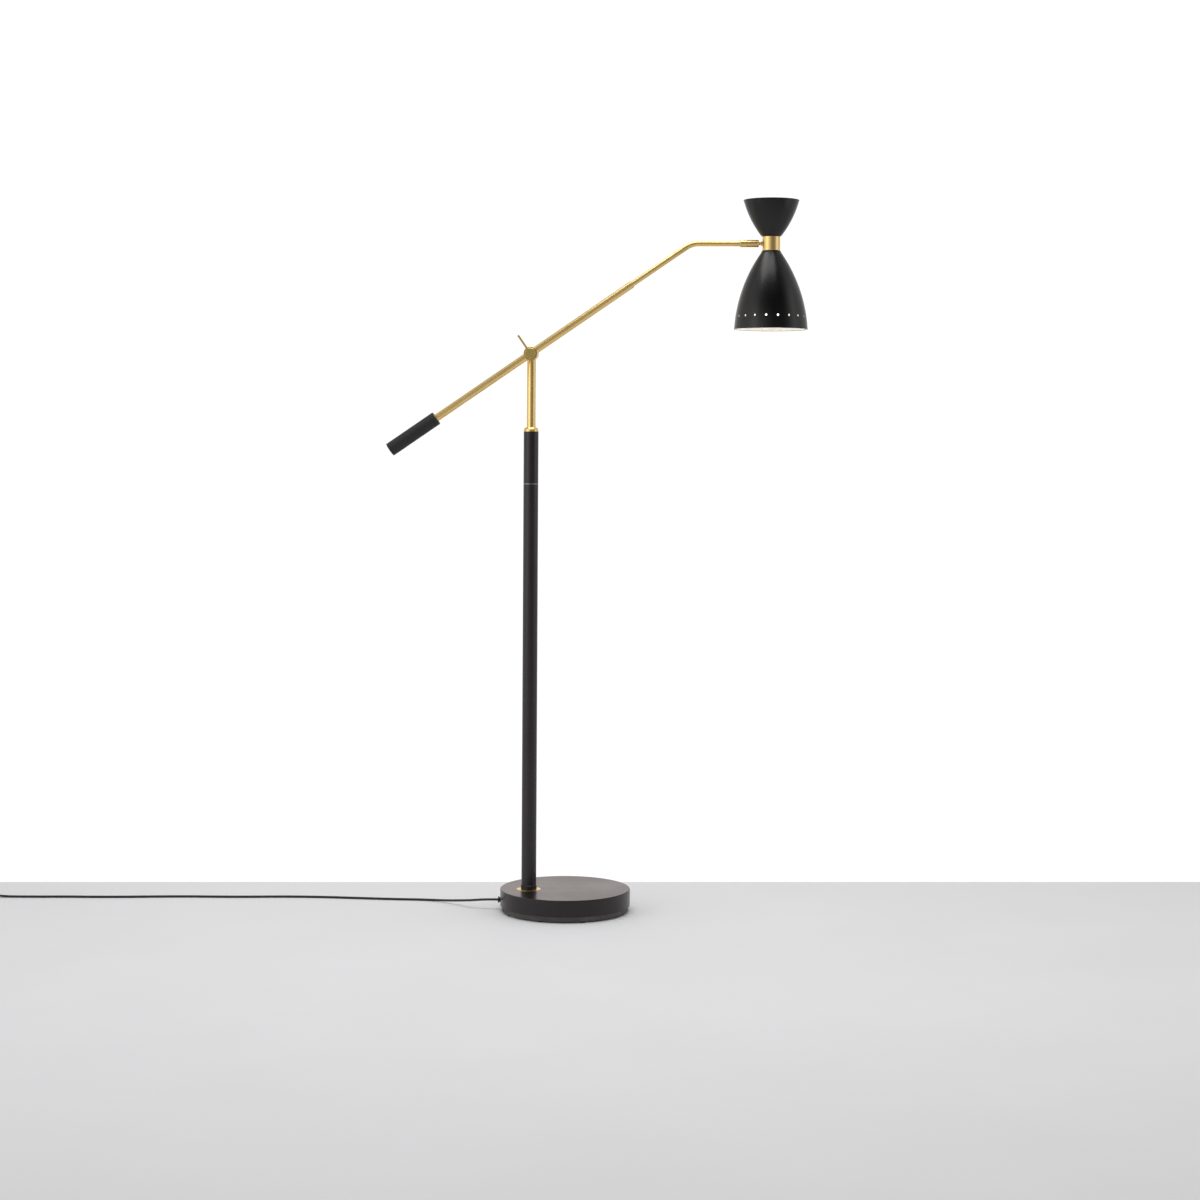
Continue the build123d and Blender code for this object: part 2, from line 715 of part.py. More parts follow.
with BuildPart() as counterweight_grip:
    with BuildSketch(arm_plane(-GRIP_START)):
        Circle(GRIP_R)
    extrude(amount=GRIP_START - GRIP_END)
    chamfer(counterweight_grip.edges().filter_by(GeomType.CIRCLE), 0.7)
    with BuildSketch(arm_plane(-GRIP_START)):
        Circle(ARM_R + FIT)
    extrude(amount=GRIP_START - GRIP_END, mode=Mode.SUBTRACT)
    with BuildSketch(arm_plane(-GRIP_START - GRIP_WALL)):
        Circle(GRIP_BORE_R)
    extrude(amount=GRIP_START - GRIP_END, mode=Mode.SUBTRACT)
    with BuildSketch(arm_plane(-GRIP_END + GRIP_WALL)):
        Circle(CAP_R + 0.1)
    extrude(amount=-GRIP_WALL - 1, mode=Mode.SUBTRACT)
counterweight_grip.part.label = "counterweight_grip"
export_step(counterweight_grip.part, "parts/counterweight_grip.step")

counterweight_core = tube(
    arm_plane(-GRIP_START - GRIP_WALL), GRIP_BORE_R - FIT, ARM_R + FIT, GRIP_START + 8.5 - GRIP_END
)
counterweight_core.part.label = "counterweight_core"
export_step(counterweight_core.part, "parts/counterweight_core.step")

with BuildPart() as grip_end_cap:
    with BuildSketch(arm_plane(-GRIP_END + GRIP_WALL)):
        Circle(CAP_R)
    extrude(amount=-GRIP_WALL)
    chamfer(grip_end_cap.edges().filter_by(GeomType.CIRCLE), 0.4)
grip_end_cap.part.label = "grip_end_cap"
export_step(grip_end_cap.part, "parts/grip_end_cap.step")

# ================================================================ head joint

# Sections of the ball joint are drawn from the ball's centre, as (distance towards the head, radius).
BALL_SECTION = Plane(origin=(BALL_X, HEAD_Y, EXT_Z), x_dir=(1, 0, 0), z_dir=(0, -1, 0))
BALL_AXIS = Axis((BALL_X, HEAD_Y, EXT_Z), (1, 0, 0))
SLEEVE_BACK = SLEEVE_START - BALL_X
SLEEVE_MOUTH = SLEEVE_END - BALL_X
BORE_END = SLEEVE_BORE_END - BALL_X
MOUTH_ANGLE = math.degrees(math.acos(SLEEVE_MOUTH / SEAT_R))
SEAT_FRONT_ANGLE = math.degrees(math.acos(-3 / SEAT_R))
SEAT_BACK_ANGLE = 180 - math.degrees(math.asin(2.5 / SEAT_R))

with BuildPart() as head_sleeve:
    with BuildSketch(BALL_SECTION):
        with BuildLine():
            seat = CenterArc((0, 0), SEAT_R, MOUTH_ANGLE, 90 - MOUTH_ANGLE)
            Polyline(
                seat @ 0,
                (SLEEVE_MOUTH, SLEEVE_R - 1),
                (SLEEVE_MOUTH - 1, SLEEVE_R),
                (SLEEVE_BACK + 1, SLEEVE_R),
                (SLEEVE_BACK, SLEEVE_R - 1),
                (SLEEVE_BACK, EXT_R + FIT),
                (BORE_END, EXT_R + FIT),
                (BORE_END, 6.5),
                (0, 6.5),
                seat @ 1,
            )
        make_face()
    revolve(axis=BALL_AXIS)
head_sleeve.part.label = "head_sleeve"
export_step(head_sleeve.part, "parts/head_sleeve.step")

with BuildPart() as ball_seat:
    with BuildSketch(BALL_SECTION):
        with BuildLine():
            cup = CenterArc((0, 0), SEAT_R, SEAT_FRONT_ANGLE, SEAT_BACK_ANGLE - SEAT_FRONT_ANGLE)
            Polyline(cup @ 0, (-3, 6.45), (BORE_END + 0.4, 6.45), (BORE_END + 0.4, 2.5), cup @ 1)
        make_face()
    revolve(axis=BALL_AXIS)
ball_seat.part.label = "ball_seat"
export_step(ball_seat.part, "parts/ball_seat.step")

with BuildPart() as ball_stud:
    with BuildSketch(BALL_SECTION):
        with BuildLine():
            stem_angle = math.degrees(math.asin(STEM_R / BALL_R))
            ball = CenterArc((0, 0), BALL_R, stem_angle, 180 - stem_angle)
            Polyline(
                ball @ 1,
                (18.6, 0),
                (18.6, STEM_R),
                (10.6, STEM_R),
                (10.6, 4.6),
                (7.8, 4.6),
                (7.8, STEM_R),
                ball @ 0,
            )
        make_face()
    revolve(axis=BALL_AXIS)
ball_stud.part.label = "ball_stud"
export_step(ball_stud.part, "parts/ball_stud.step")

stud_nut = hex_nut(neck_plane(HEAD_X - 15.6), 9, STEM_R + FIT, 3)
stud_nut.part.label = "stud_nut"
export_step(stud_nut.part, "parts/stud_nut.step")

# ================================================================ head

with BuildPart() as neck_band:
    with BuildSketch(head_plane(NECK_BOTTOM)):
        Circle(NECK_R)
        Circle(NECK_BORE_R, mode=Mode.SUBTRACT)
    extrude(amount=NECK_TOP - NECK_BOTTOM)
    chamfer(neck_band.edges().filter_by(GeomType.CIRCLE), 0.6)
    with BuildSketch(neck_plane(HEAD_X - 25)):
        Circle(STEM_R + FIT)
    extrude(amount=12, mode=Mode.SUBTRACT)
neck_band.part.label = "neck_band"
export_step(neck_band.part, "parts/neck_band.step")

with BuildPart() as shade_lower:
    with BuildSketch(HEAD_SECTION):
        with BuildLine():
            Line((0, NECK_BOTTOM), (LOWER_TOP_R, NECK_BOTTOM))
            ThreePointArc((LOWER_TOP_R, NECK_BOTTOM), LOWER_MID, (LOWER_RIM_R, LOWER_RIM_Z))
            Line((LOWER_RIM_R, LOWER_RIM_Z), (0, LOWER_RIM_Z))
            Line((0, LOWER_RIM_Z), (0, NECK_BOTTOM))
        make_face()
    revolve(axis=HEAD_AXIS)
    offset(amount=-SHADE_WALL, openings=shade_lower.faces().sort_by(Axis.Z)[0])
    with BuildSketch(head_plane(NECK_BOTTOM - 3)):
        Circle(NIPPLE_R + 0.2)
    extrude(amount=4, mode=Mode.SUBTRACT)
    # ring of vent holes above the rim
    for number in range(PINHOLE_COUNT):
        angle = math.radians(PINHOLE_START + number * 360 / PINHOLE_COUNT)
        outward = (math.cos(angle), math.sin(angle), 0)
        with BuildSketch(Plane(origin=(HEAD_X, HEAD_Y, PINHOLE_Z), z_dir=outward)):
            Circle(PINHOLE_R)
        extrude(amount=LOWER_RIM_R + 5, mode=Mode.SUBTRACT)
shade_lower.part.label = "shade_lower"
export_step(shade_lower.part, "parts/shade_lower.step")

with BuildPart() as shade_upper:
    with BuildSketch(HEAD_SECTION):
        with BuildLine():
            Line((0, NECK_TOP), (UPPER_FLOOR_R, NECK_TOP))
            ThreePointArc((UPPER_FLOOR_R, NECK_TOP), UPPER_MID, (UPPER_RIM_R, UPPER_RIM_Z))
            Line((UPPER_RIM_R, UPPER_RIM_Z), (0, UPPER_RIM_Z))
            Line((0, UPPER_RIM_Z), (0, NECK_TOP))
        make_face()
    revolve(axis=HEAD_AXIS)
    offset(amount=-SHADE_WALL, openings=shade_upper.faces().sort_by(Axis.Z)[-1])
    with BuildSketch(head_plane(NECK_TOP - 1)):
        Circle(NIPPLE_R + 0.2)
    extrude(amount=4, mode=Mode.SUBTRACT)
shade_upper.part.label = "shade_upper"
export_step(shade_upper.part, "parts/shade_upper.step")

head_nipple = tube(head_plane(NIPPLE_BOTTOM), NIPPLE_R, 3.6, NIPPLE_LENGTH)
head_nipple.part.label = "head_nipple"
export_step(head_nipple.part, "parts/head_nipple.step")

with BuildPart() as head_nuts:
    for bottom in (NECK_BOTTOM - SHADE_WALL - HEAD_NUT_H, NECK_TOP + SHADE_WALL):
        with BuildSketch(head_plane(bottom)):
            RegularPolygon(radius=8, side_count=6, major_radius=False)
            Circle(NIPPLE_R + FIT, mode=Mode.SUBTRACT)
        extrude(amount=HEAD_NUT_H)
head_nuts.part.label = "head_nuts"
export_step(head_nuts.part, "parts/head_nuts.step")

CAP_BOTTOM = NECK_TOP + SHADE_WALL + HEAD_NUT_H
with BuildPart() as cap_nut:
    with BuildSketch(head_plane(CAP_BOTTOM)):
        Circle(CAP_NUT_R)
    extrude(amount=CAP_NUT_H)
    fillet(cap_nut.edges().sort_by(Axis.Z)[-1], 5)
    with BuildSketch(head_plane(CAP_BOTTOM)):
        Circle(NIPPLE_R + FIT)
    extrude(amount=7.5, mode=Mode.SUBTRACT)
cap_nut.part.label = "cap_nut"
export_step(cap_nut.part, "parts/cap_nut.step")

lamp_socket = turned(
    HEAD_SECTION,
    HEAD_AXIS,
    [
        (NIPPLE_R + FIT, 1416),
        (11, 1416),
        (SOCKET_R, 1402),
        (SOCKET_R, SOCKET_BOTTOM),
        (14.6, SOCKET_BOTTOM),
        (14.6, 1396),
        (10, 1410),
        (NIPPLE_R + FIT, 1410),
    ],
)
lamp_socket.part.label = "lamp_socket"
export_step(lamp_socket.part, "parts/lamp_socket.step")

socket_shell = turned(
    HEAD_SECTION,
    HEAD_AXIS,
    [
        (13.4, 1355),
        (14.2, 1355),
        (14.2, 1390),
        (2.2, 1390),
        (2.2, 1389),
        (13.4, 1389),
    ],
)
socket_shell.part.label = "socket_shell"
export_step(socket_shell.part, "parts/socket_shell.step")

bulb_base = turned(
    HEAD_SECTION,
    HEAD_AXIS,
    [
        (0, BULB_NECK_Z),
        (13, BULB_NECK_Z),
        (13, 1374),
        (6, 1380),
        (4, 1382),
        (0, 1382),
    ],
)
bulb_base.part.label = "bulb_base"
export_step(bulb_base.part, "parts/bulb_base.step")

with BuildPart() as bulb_glass:
    with BuildSketch(HEAD_SECTION):
        with BuildLine():
            bowl = CenterArc((0, BULB_BOTTOM + BULB_R), BULB_R, -90, 120)
            TangentArc(bowl @ 1, (BULB_NECK_R, BULB_NECK_Z), tangent=bowl % 1)
            Line((BULB_NECK_R, BULB_NECK_Z), (0, BULB_NECK_Z))
            Line((0, BULB_NECK_Z), bowl @ 0)
        make_face()
    revolve(axis=HEAD_AXIS)
    offset(amount=-0.7, openings=bulb_glass.faces().sort_by(Axis.Z)[-1])
bulb_glass.part.label = "bulb_glass"
export_step(bulb_glass.part, "parts/bulb_glass.step")

head_lead = rod(head_plane(HEAD_LEAD_BOTTOM), HEAD_LEAD_R, HEAD_LEAD_LENGTH)
head_lead.part.label = "head_lead"
export_step(head_lead.part, "parts/head_lead.step")

# ================================================================ cord, foot switch and plug

cord_lead = cord_tube("cord_lead", LEAD_ROUTE)
cord_lead.part.label = "cord_lead"
export_step(cord_lead.part, "parts/cord_lead.step")

cord_link = cord_tube("cord_link", LINK_ROUTE)
cord_link.part.label = "cord_link"
export_step(cord_link.part, "parts/cord_link.step")

SWITCH_PLANE = Plane(origin=(SWITCH_X, SWITCH_Y, 0))
with BuildPart() as switch_base:
    with BuildSketch(SWITCH_PLANE):
        SlotOverall(SWITCH_LENGTH, SWITCH_WIDTH)
    extrude(amount=14)
    fillet(switch_base.faces().sort_by(Axis.Z)[0].edges(), 1.5)
    for side in (1, -1):
        relief_start = SWITCH_X + side * (SWITCH_LENGTH / 2 - 1)
        with BuildSketch(
            Plane(origin=(relief_start, SWITCH_Y, SWITCH_CORD_Z), z_dir=(side, 0, 0))
        ):
            Circle(5)
        extrude(amount=SWITCH_RELIEF + 1, taper=8)
    with BuildSketch(SWITCH_PLANE.offset(2)):
        SlotOverall(SWITCH_LENGTH - 4, SWITCH_WIDTH - 4)
    extrude(amount=12, mode=Mode.SUBTRACT)
switch_base.part.label = "switch_base"
export_step(switch_base.part, "parts/switch_base.step")

with BuildPart() as switch_cover:
    with BuildSketch(SWITCH_PLANE.offset(14)):
        SlotOverall(SWITCH_LENGTH, SWITCH_WIDTH)
    extrude(amount=6)
    fillet(switch_cover.faces().sort_by(Axis.Z)[-1].edges(), 2.5)
    with BuildSketch(SWITCH_PLANE.offset(14)):
        SlotOverall(SWITCH_LENGTH - 6, SWITCH_WIDTH - 6)
    extrude(amount=4, mode=Mode.SUBTRACT)
    with BuildSketch(SWITCH_PLANE.offset(14)):
        Circle(11.3)
    extrude(amount=8, mode=Mode.SUBTRACT)
switch_cover.part.label = "switch_cover"
export_step(switch_cover.part, "parts/switch_cover.step")

switch_button = turned(
    Plane(origin=(SWITCH_X, SWITCH_Y, 0), x_dir=(1, 0, 0), z_dir=(0, -1, 0)),
    Axis((SWITCH_X, SWITCH_Y, 0), (0, 0, 1)),
    [
        (0, 12),
        (9, 12),
        (9, 15.4),
        (12.6, 15.4),
        (12.6, 17.6),
        (11, 17.6),
        (11, 22.6),
        (10, 23.6),
        (0, 23.6),
    ],
)
switch_button.part.label = "switch_button"
export_step(switch_button.part, "parts/switch_button.step")

with BuildPart() as switch_block:
    with BuildSketch(SWITCH_PLANE.offset(2)):
        Rectangle(34, 18)
    extrude(amount=6.8)
    chamfer(switch_block.edges().filter_by(Axis.Z), 2)
switch_block.part.label = "switch_block"
export_step(switch_block.part, "parts/switch_block.step")

COIL_OUTER_R = COIL_MEAN_R + COIL_HALF_WIDTH
COIL_INNER_R = COIL_MEAN_R - COIL_HALF_WIDTH
cord_coil = tube(Plane(origin=(COIL_X, COIL_Y, 0)), COIL_OUTER_R, COIL_INNER_R, COIL_H)
cord_coil.part.label = "cord_coil"
export_step(cord_coil.part, "parts/cord_coil.step")

with BuildPart() as cord_tail:
    with BuildSketch(Plane(origin=(COIL_X, PLUG_Y, TAIL_Z), z_dir=(1, 0, 0))):
        Circle(CORD_R)
    extrude(amount=PLUG_X - COIL_X)
cord_tail.part.label = "cord_tail"
export_step(cord_tail.part, "parts/cord_tail.step")

with BuildPart() as plug_body:
    with BuildSketch(Plane(origin=(PLUG_X + 20, PLUG_Y, TAIL_Z), x_dir=(0, 1, 0), z_dir=(1, 0, 0))):
        RectangleRounded(24, 15, 4)
    extrude(amount=26, taper=2)
    fillet(plug_body.faces().sort_by(Axis.X)[0].edges(), 3)
    with BuildSketch(Plane(origin=(PLUG_X + 22, PLUG_Y, TAIL_Z), z_dir=(-1, 0, 0))):
        Circle(5.2)
    extrude(amount=22, taper=5)
plug_body.part.label = "plug_body"
export_step(plug_body.part, "parts/plug_body.step")

with BuildPart() as plug_blades:
    with BuildSketch(Plane(origin=(PLUG_X + 46, PLUG_Y, TAIL_Z), x_dir=(0, 1, 0), z_dir=(1, 0, 0))):
        with GridLocations(12.7, 0, 2, 1):
            Rectangle(1.5, 6.3)
    extrude(amount=17.5)
    chamfer(plug_blades.faces().sort_by(Axis.X)[-2:].edges().filter_by(Axis.Z), 0.5)
plug_blades.part.label = "plug_blades"
export_step(plug_blades.part, "parts/plug_blades.step")
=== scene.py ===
import math

import bmesh
import bpy
from mathutils import Matrix, Vector


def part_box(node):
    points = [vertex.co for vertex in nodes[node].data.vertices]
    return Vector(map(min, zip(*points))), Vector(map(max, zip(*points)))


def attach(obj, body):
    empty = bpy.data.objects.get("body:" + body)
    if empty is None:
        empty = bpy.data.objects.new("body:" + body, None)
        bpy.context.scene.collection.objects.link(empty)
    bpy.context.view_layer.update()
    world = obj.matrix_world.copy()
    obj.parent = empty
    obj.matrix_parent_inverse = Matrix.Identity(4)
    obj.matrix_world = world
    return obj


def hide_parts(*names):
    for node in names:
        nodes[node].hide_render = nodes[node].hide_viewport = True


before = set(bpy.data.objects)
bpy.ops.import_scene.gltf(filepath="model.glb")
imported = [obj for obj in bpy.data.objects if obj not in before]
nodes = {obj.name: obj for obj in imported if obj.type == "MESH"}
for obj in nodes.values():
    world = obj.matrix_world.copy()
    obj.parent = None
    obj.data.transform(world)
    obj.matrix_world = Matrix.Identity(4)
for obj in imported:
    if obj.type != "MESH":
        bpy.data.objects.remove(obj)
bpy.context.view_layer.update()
scene = bpy.context.scene
MM = 0.001

# ================================================================ places read from the frame


def middle(node):
    """The centre of a CAD node's box."""
    low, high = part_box(node)
    return (low + high) / 2


HEAD = middle("shade_lower")
SWITCH = middle("switch_base")
COIL = middle("cord_coil")
COIL_LOW, COIL_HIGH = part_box("cord_coil")
COIL_OUTER_R = (COIL_HIGH.x - COIL_LOW.x) / 2
LOWER_LOW, LOWER_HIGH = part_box("shade_lower")
UPPER_LOW, UPPER_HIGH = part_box("shade_upper")
SWITCH_LOW, SWITCH_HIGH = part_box("switch_base")
PLUG_LOW, PLUG_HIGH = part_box("plug_body")
BULB_LOW, BULB_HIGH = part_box("bulb_glass")

# ================================================================ shader nodes

# Nearly all of a noise's values lie between these two.
NOISE_LOW = 0.3
NOISE_HIGH = 0.7


def remap(tree, source, low, high, to_low=0.0, to_high=1.0):
    """Maps the range low to high onto to_low to to_high, and holds the ends."""
    node = tree.nodes.new("ShaderNodeMapRange")
    sockets = ("From Min", "From Max", "To Min", "To Max")
    for socket, value in zip(sockets, (low, high, to_low, to_high)):
        node.inputs[socket].default_value = value
    tree.links.new(source, node.inputs["Value"])
    return node.outputs["Result"]


def maths(tree, kind, first, second):
    """One sum: first is a socket, second a socket or a number."""
    node = tree.nodes.new("ShaderNodeMath")
    node.operation = kind
    tree.links.new(first, node.inputs[0])
    if isinstance(second, (int, float)):
        node.inputs[1].default_value = second
    else:
        tree.links.new(second, node.inputs[1])
    return node.outputs["Value"]


def ramp(tree, source, stops, easing="LINEAR"):
    """A ramp over a value from 0 to 1: stops are (position, colour or brightness)."""
    node = tree.nodes.new("ShaderNodeValToRGB")
    node.color_ramp.interpolation = easing
    elements = node.color_ramp.elements
    while len(elements) < len(stops):
        elements.new(0.5)
    for element, (position, value) in zip(elements, stops):
        element.position = position
        element.color = (*value, 1) if isinstance(value, tuple) else (value, value, value, 1)
    tree.links.new(source, node.inputs["Fac"])
    return node.outputs["Color"]


def mix_colours(tree, first, second, factor=None, blend="MIX"):
    """Two colours, each a socket or a plain colour, mixed by a factor or blended in full."""
    node = tree.nodes.new("ShaderNodeMix")
    node.data_type = "RGBA"
    node.blend_type = blend
    node.inputs["Factor"].default_value = 1
    if factor:
        tree.links.new(factor, node.inputs["Factor"])
    for value, target in zip((first, second), [i for i in node.inputs if i.type == "RGBA"]):
        if isinstance(value, tuple):
            target.default_value = (*value, 1)
        else:
            tree.links.new(value, target)
    return next(o for o in node.outputs if o.type == "RGBA")


def split_xyz(tree, source):
    """The three parts of a vector, by the names X, Y and Z."""
    node = tree.nodes.new("ShaderNodeSeparateXYZ")
    tree.links.new(source, node.inputs["Vector"])
    return node.outputs


def times(colour, factor):
    """A colour made lighter or darker."""
    return tuple(factor * c for c in colour)


class Shader:
    """A material with one Principled shader, and short calls for the nodes in front of it."""

    def __init__(self, name, rough, metal=0.0, **constants):
        self.material = bpy.data.materials.new(name)
        self.material.use_nodes = True
        self.tree = self.material.node_tree
        self.bsdf = self.tree.nodes["Principled BSDF"]
        self.bsdf.inputs["Roughness"].default_value = rough
        self.bsdf.inputs["Metallic"].default_value = metal
        for socket, value in constants.items():
            self.bsdf.inputs[socket.replace("_", " ")].default_value = value
        self.place = self.tree.nodes.new("ShaderNodeTexCoord").outputs["Object"]

    def stretched(self, scale, turn=(0, 0, 0)):
        """Object coordinates turned and stretched, for brushing and scratches."""
        node = self.tree.nodes.new("ShaderNodeMapping")
        node.vector_type = "TEXTURE"
        node.inputs["Rotation"].default_value = turn
        node.inputs["Scale"].default_value = scale
        self.tree.links.new(self.place, node.inputs["Vector"])
        return node.outputs["Vector"]

    def noise(self, scale, detail, rough, place=None):
        node = self.tree.nodes.new("ShaderNodeTexNoise")
        node.inputs["Scale"].default_value = scale
        node.inputs["Detail"].default_value = detail
        node.inputs["Roughness"].default_value = rough
        self.tree.links.new(place or self.place, node.inputs["Vector"])
        return node.outputs["Fac"]

    def remap(self, source, low, high, to_low, to_high):
        return remap(self.tree, source, low, high, to_low, to_high)

    def spread(self, source, to_low, to_high):
        """A noise's usual range mapped onto two values."""
        return self.remap(source, NOISE_LOW, NOISE_HIGH, to_low, to_high)

    def add(self, first, second):
        return maths(self.tree, "ADD", first, second)

    def colour(self, source, *stops):
        return ramp(self.tree, source, stops)

    def two_tone(self, source, dark, light):
        """A noise as two colours that run into each other."""
        return self.colour(source, (NOISE_LOW, dark), (NOISE_HIGH, light))

    def mixed(self, factor, under, over):
        return mix_colours(self.tree, under, over, factor)

    def bump(self, source, strength, distance):
        node = self.tree.nodes.new("ShaderNodeBump")
        node.inputs["Strength"].default_value = strength
        node.inputs["Distance"].default_value = distance
        self.tree.links.new(source, node.inputs["Height"])
        return node.outputs["Normal"]

    def finish(self, base, rough, normal=None):
        """Links what was made to the shader, and gives back the material."""
        self.tree.links.new(base, self.bsdf.inputs["Base Color"])
        self.tree.links.new(rough, self.bsdf.inputs["Roughness"])
        if normal:
            self.tree.links.new(normal, self.bsdf.inputs["Normal"])
        return self.material


# ================================================================ kinds of material


def powder_coat(name, dark, light, rough, peel=0.5, grain=700, level=0.5):
    """Satin powder coat: fine orange peel, faint clouding, and pale specks of dust."""
    s = Shader(name, rough, IOR=1.5, Specular_IOR_Level=level)
    clouds = s.noise(7, detail=4, rough=0.6)
    fine = s.noise(grain, detail=2, rough=0.55)
    specks = s.noise(2600, detail=1, rough=0.5)
    dust = s.remap(specks, 0.70, 0.80, 0.0, 0.20)
    base = s.mixed(dust, s.two_tone(clouds, dark, light), times(light, 2.5))
    roughness = s.add(s.spread(clouds, rough - 0.03, rough + 0.04), s.spread(fine, -0.02, 0.02))
    return s.finish(base, roughness, s.bump(fine, strength=peel, distance=0.06 * MM))


def brass(name, rough, stretch, turn=(0, 0, 0), tint=(0.82, 0.575, 0.215), pale=(0.87, 0.635, 0.27)):
    """Lacquered brushed brass: fine brushing along one direction, slow pale patches and a few dull spots."""
    s = Shader(name, rough, metal=1.0)
    brushing = s.noise(900, detail=3, rough=0.6, place=s.stretched(stretch, turn))
    patches = s.noise(16, detail=3, rough=0.55)
    spots = s.noise(240, detail=2, rough=0.5)
    base = s.colour(patches, (0.32, tint), (0.68, pale))
    base = s.mixed(s.remap(brushing, 0.35, 0.65, 0.0, 0.12), base, times(tint, 0.78))
    base = s.mixed(s.remap(spots, 0.70, 0.82, 0.0, 0.10), base, times(tint, 0.70))
    roughness = s.add(
        s.spread(brushing, rough - 0.02, rough + 0.03),
        s.remap(spots, 0.6, 0.8, 0.0, 0.03),
    )
    return s.finish(base, roughness, s.bump(brushing, strength=0.01, distance=0.01 * MM))


def steel(name, rough, tint=(0.52, 0.52, 0.53)):
    """Zinc-plated steel with a mottled crystal look and fine scratches."""
    s = Shader(name, rough, metal=1.0)
    mottle = s.noise(90, detail=4, rough=0.6)
    scratches = s.noise(900, detail=2, rough=0.6, place=s.stretched((1, 14, 1), (0, 0, 0.5)))
    base = s.two_tone(mottle, times(tint, 0.78), tint)
    roughness = s.spread(mottle, rough - 0.08, rough + 0.10)
    return s.finish(base, roughness, s.bump(scratches, strength=0.25, distance=0.04 * MM))


def plastic(name, dark, light, rough, grain=500, strength=0.35):
    """Moulded plastic with a fine spark texture."""
    s = Shader(name, rough, IOR=1.48)
    texture = s.noise(grain, detail=3, rough=0.7)
    worn = s.noise(30, detail=4, rough=0.6)
    roughness = s.add(s.spread(worn, rough - 0.06, rough + 0.06), s.spread(texture, -0.03, 0.03))
    normal = s.bump(texture, strength, distance=0.08 * MM)
    return s.finish(s.two_tone(worn, dark, light), roughness, normal)


def cast_iron(name):
    """Sand-cast weight: rough skin with pits and grey-brown patches."""
    s = Shader(name, 0.75, metal=0.55)
    skin = s.noise(420, detail=5, rough=0.7)
    patches = s.noise(22, detail=4, rough=0.6)
    base = s.two_tone(patches, (0.085, 0.078, 0.074), (0.15, 0.14, 0.135))
    return s.finish(base, s.spread(skin, 0.6, 0.85), s.bump(skin, strength=0.8, distance=0.3 * MM))


def rubber(name, dark=(0.013, 0.013, 0.013), light=(0.026, 0.025, 0.025), rough=0.68):
    """Matt rubber with a little dust on it."""
    s = Shader(name, rough, IOR=1.5)
    dust = s.noise(45, detail=5, rough=0.7)
    skin = s.noise(900, detail=2, rough=0.6)
    base = s.colour(dust, (0.35, dark), (0.75, light))
    roughness = s.spread(dust, rough - 0.06, rough + 0.08)
    return s.finish(base, roughness, s.bump(skin, strength=0.3, distance=0.08 * MM))


def enamel(name):
    """White enamel with faint clouding and a soft texture."""
    s = Shader(name, 0.42, IOR=1.5)
    clouds = s.noise(14, detail=4, rough=0.6)
    fine = s.noise(700, detail=2, rough=0.5)
    base = s.two_tone(clouds, (0.82, 0.80, 0.77), (0.87, 0.86, 0.84))
    return s.finish(base, s.spread(clouds, 0.38, 0.50), s.bump(fine, strength=0.35, distance=0.06 * MM))


def lit_glass(name):
    """A lit bulb's frosted envelope: brightest round its shoulder, where it faces the shade."""
    s = Shader(name, 0.35, IOR=1.5, Emission_Strength=7.4)
    frost = s.noise(1200, detail=2, rough=0.5)
    height = s.remap(split_xyz(s.tree, s.place)["Z"], BULB_LOW.z, BULB_HIGH.z, 0.0, 1.0)
    glow = s.colour(
        height,
        (0.0, (0.205, 0.186, 0.164)),
        (0.34, (0.23, 0.208, 0.182)),
        (0.55, (1.0, 0.88, 0.75)),
        (1.0, (0.60, 0.47, 0.35)),
    )
    s.tree.links.new(glow, s.bsdf.inputs["Emission Color"])
    base = s.two_tone(frost, (0.86, 0.84, 0.80), (0.92, 0.90, 0.86))
    return s.finish(base, s.spread(frost, 0.30, 0.42), s.bump(frost, strength=0.3, distance=0.05 * MM))


def fibre(name):
    """Pressed brown fibre with short strands."""
    s = Shader(name, 0.7, IOR=1.5)
    strands = s.noise(500, detail=4, rough=0.7)
    base = s.two_tone(strands, (0.16, 0.09, 0.05), (0.26, 0.16, 0.09))
    return s.finish(base, s.spread(strands, 0.6, 0.8), s.bump(strands, strength=0.5, distance=0.1 * MM))


# ================================================================ materials

ALONG_X = (12, 1, 1)
ALONG_Y = (1, 6, 1)
ALONG_Z = (1, 1, 12)
ROUND_Z = (1, 1, 0.12)
ARM_TURN = (0, -math.radians(34.5), 0)
NO_TURN = (0, 0, 0)

BASE_PAINT = powder_coat(
    "base_powder_coat", (0.0095, 0.0052, 0.0056), (0.0145, 0.0084, 0.0088), 0.28, level=0.42
)
POLE_PAINT = powder_coat("pole_powder_coat", (0.0100, 0.0064, 0.0072), (0.0150, 0.0100, 0.0108), 0.32)
SHADE_PAINT = powder_coat(
    "shade_paint", (0.0012, 0.0006, 0.0006), (0.0020, 0.0012, 0.0012), 0.28, peel=0.3, level=0.42
)
GRIP_PAINT = powder_coat(
    "grip_paint", (0.0085, 0.0075, 0.0076), (0.0130, 0.0115, 0.0117), 0.55, peel=0.7, grain=900
)
MAST_BRASS = brass("mast_brass", 0.28, ALONG_Z)
ARM_BRASS = brass("arm_brass", 0.30, ALONG_X, ARM_TURN)
LEVEL_BRASS = brass("level_brass", 0.28, ALONG_X)
TURNED_BRASS = brass("turned_brass", 0.30, ROUND_Z)
HUB_BRASS = brass("hub_brass", 0.34, ALONG_Y, NO_TURN, (0.56, 0.40, 0.13), (0.64, 0.47, 0.17))
SCREW_STEEL = steel("screw_steel", 0.36)
PLATE_STEEL = steel("plate_steel", 0.42, (0.46, 0.46, 0.47))
BULB_ALUMINIUM = steel("bulb_aluminium", 0.30, (0.80, 0.80, 0.80))
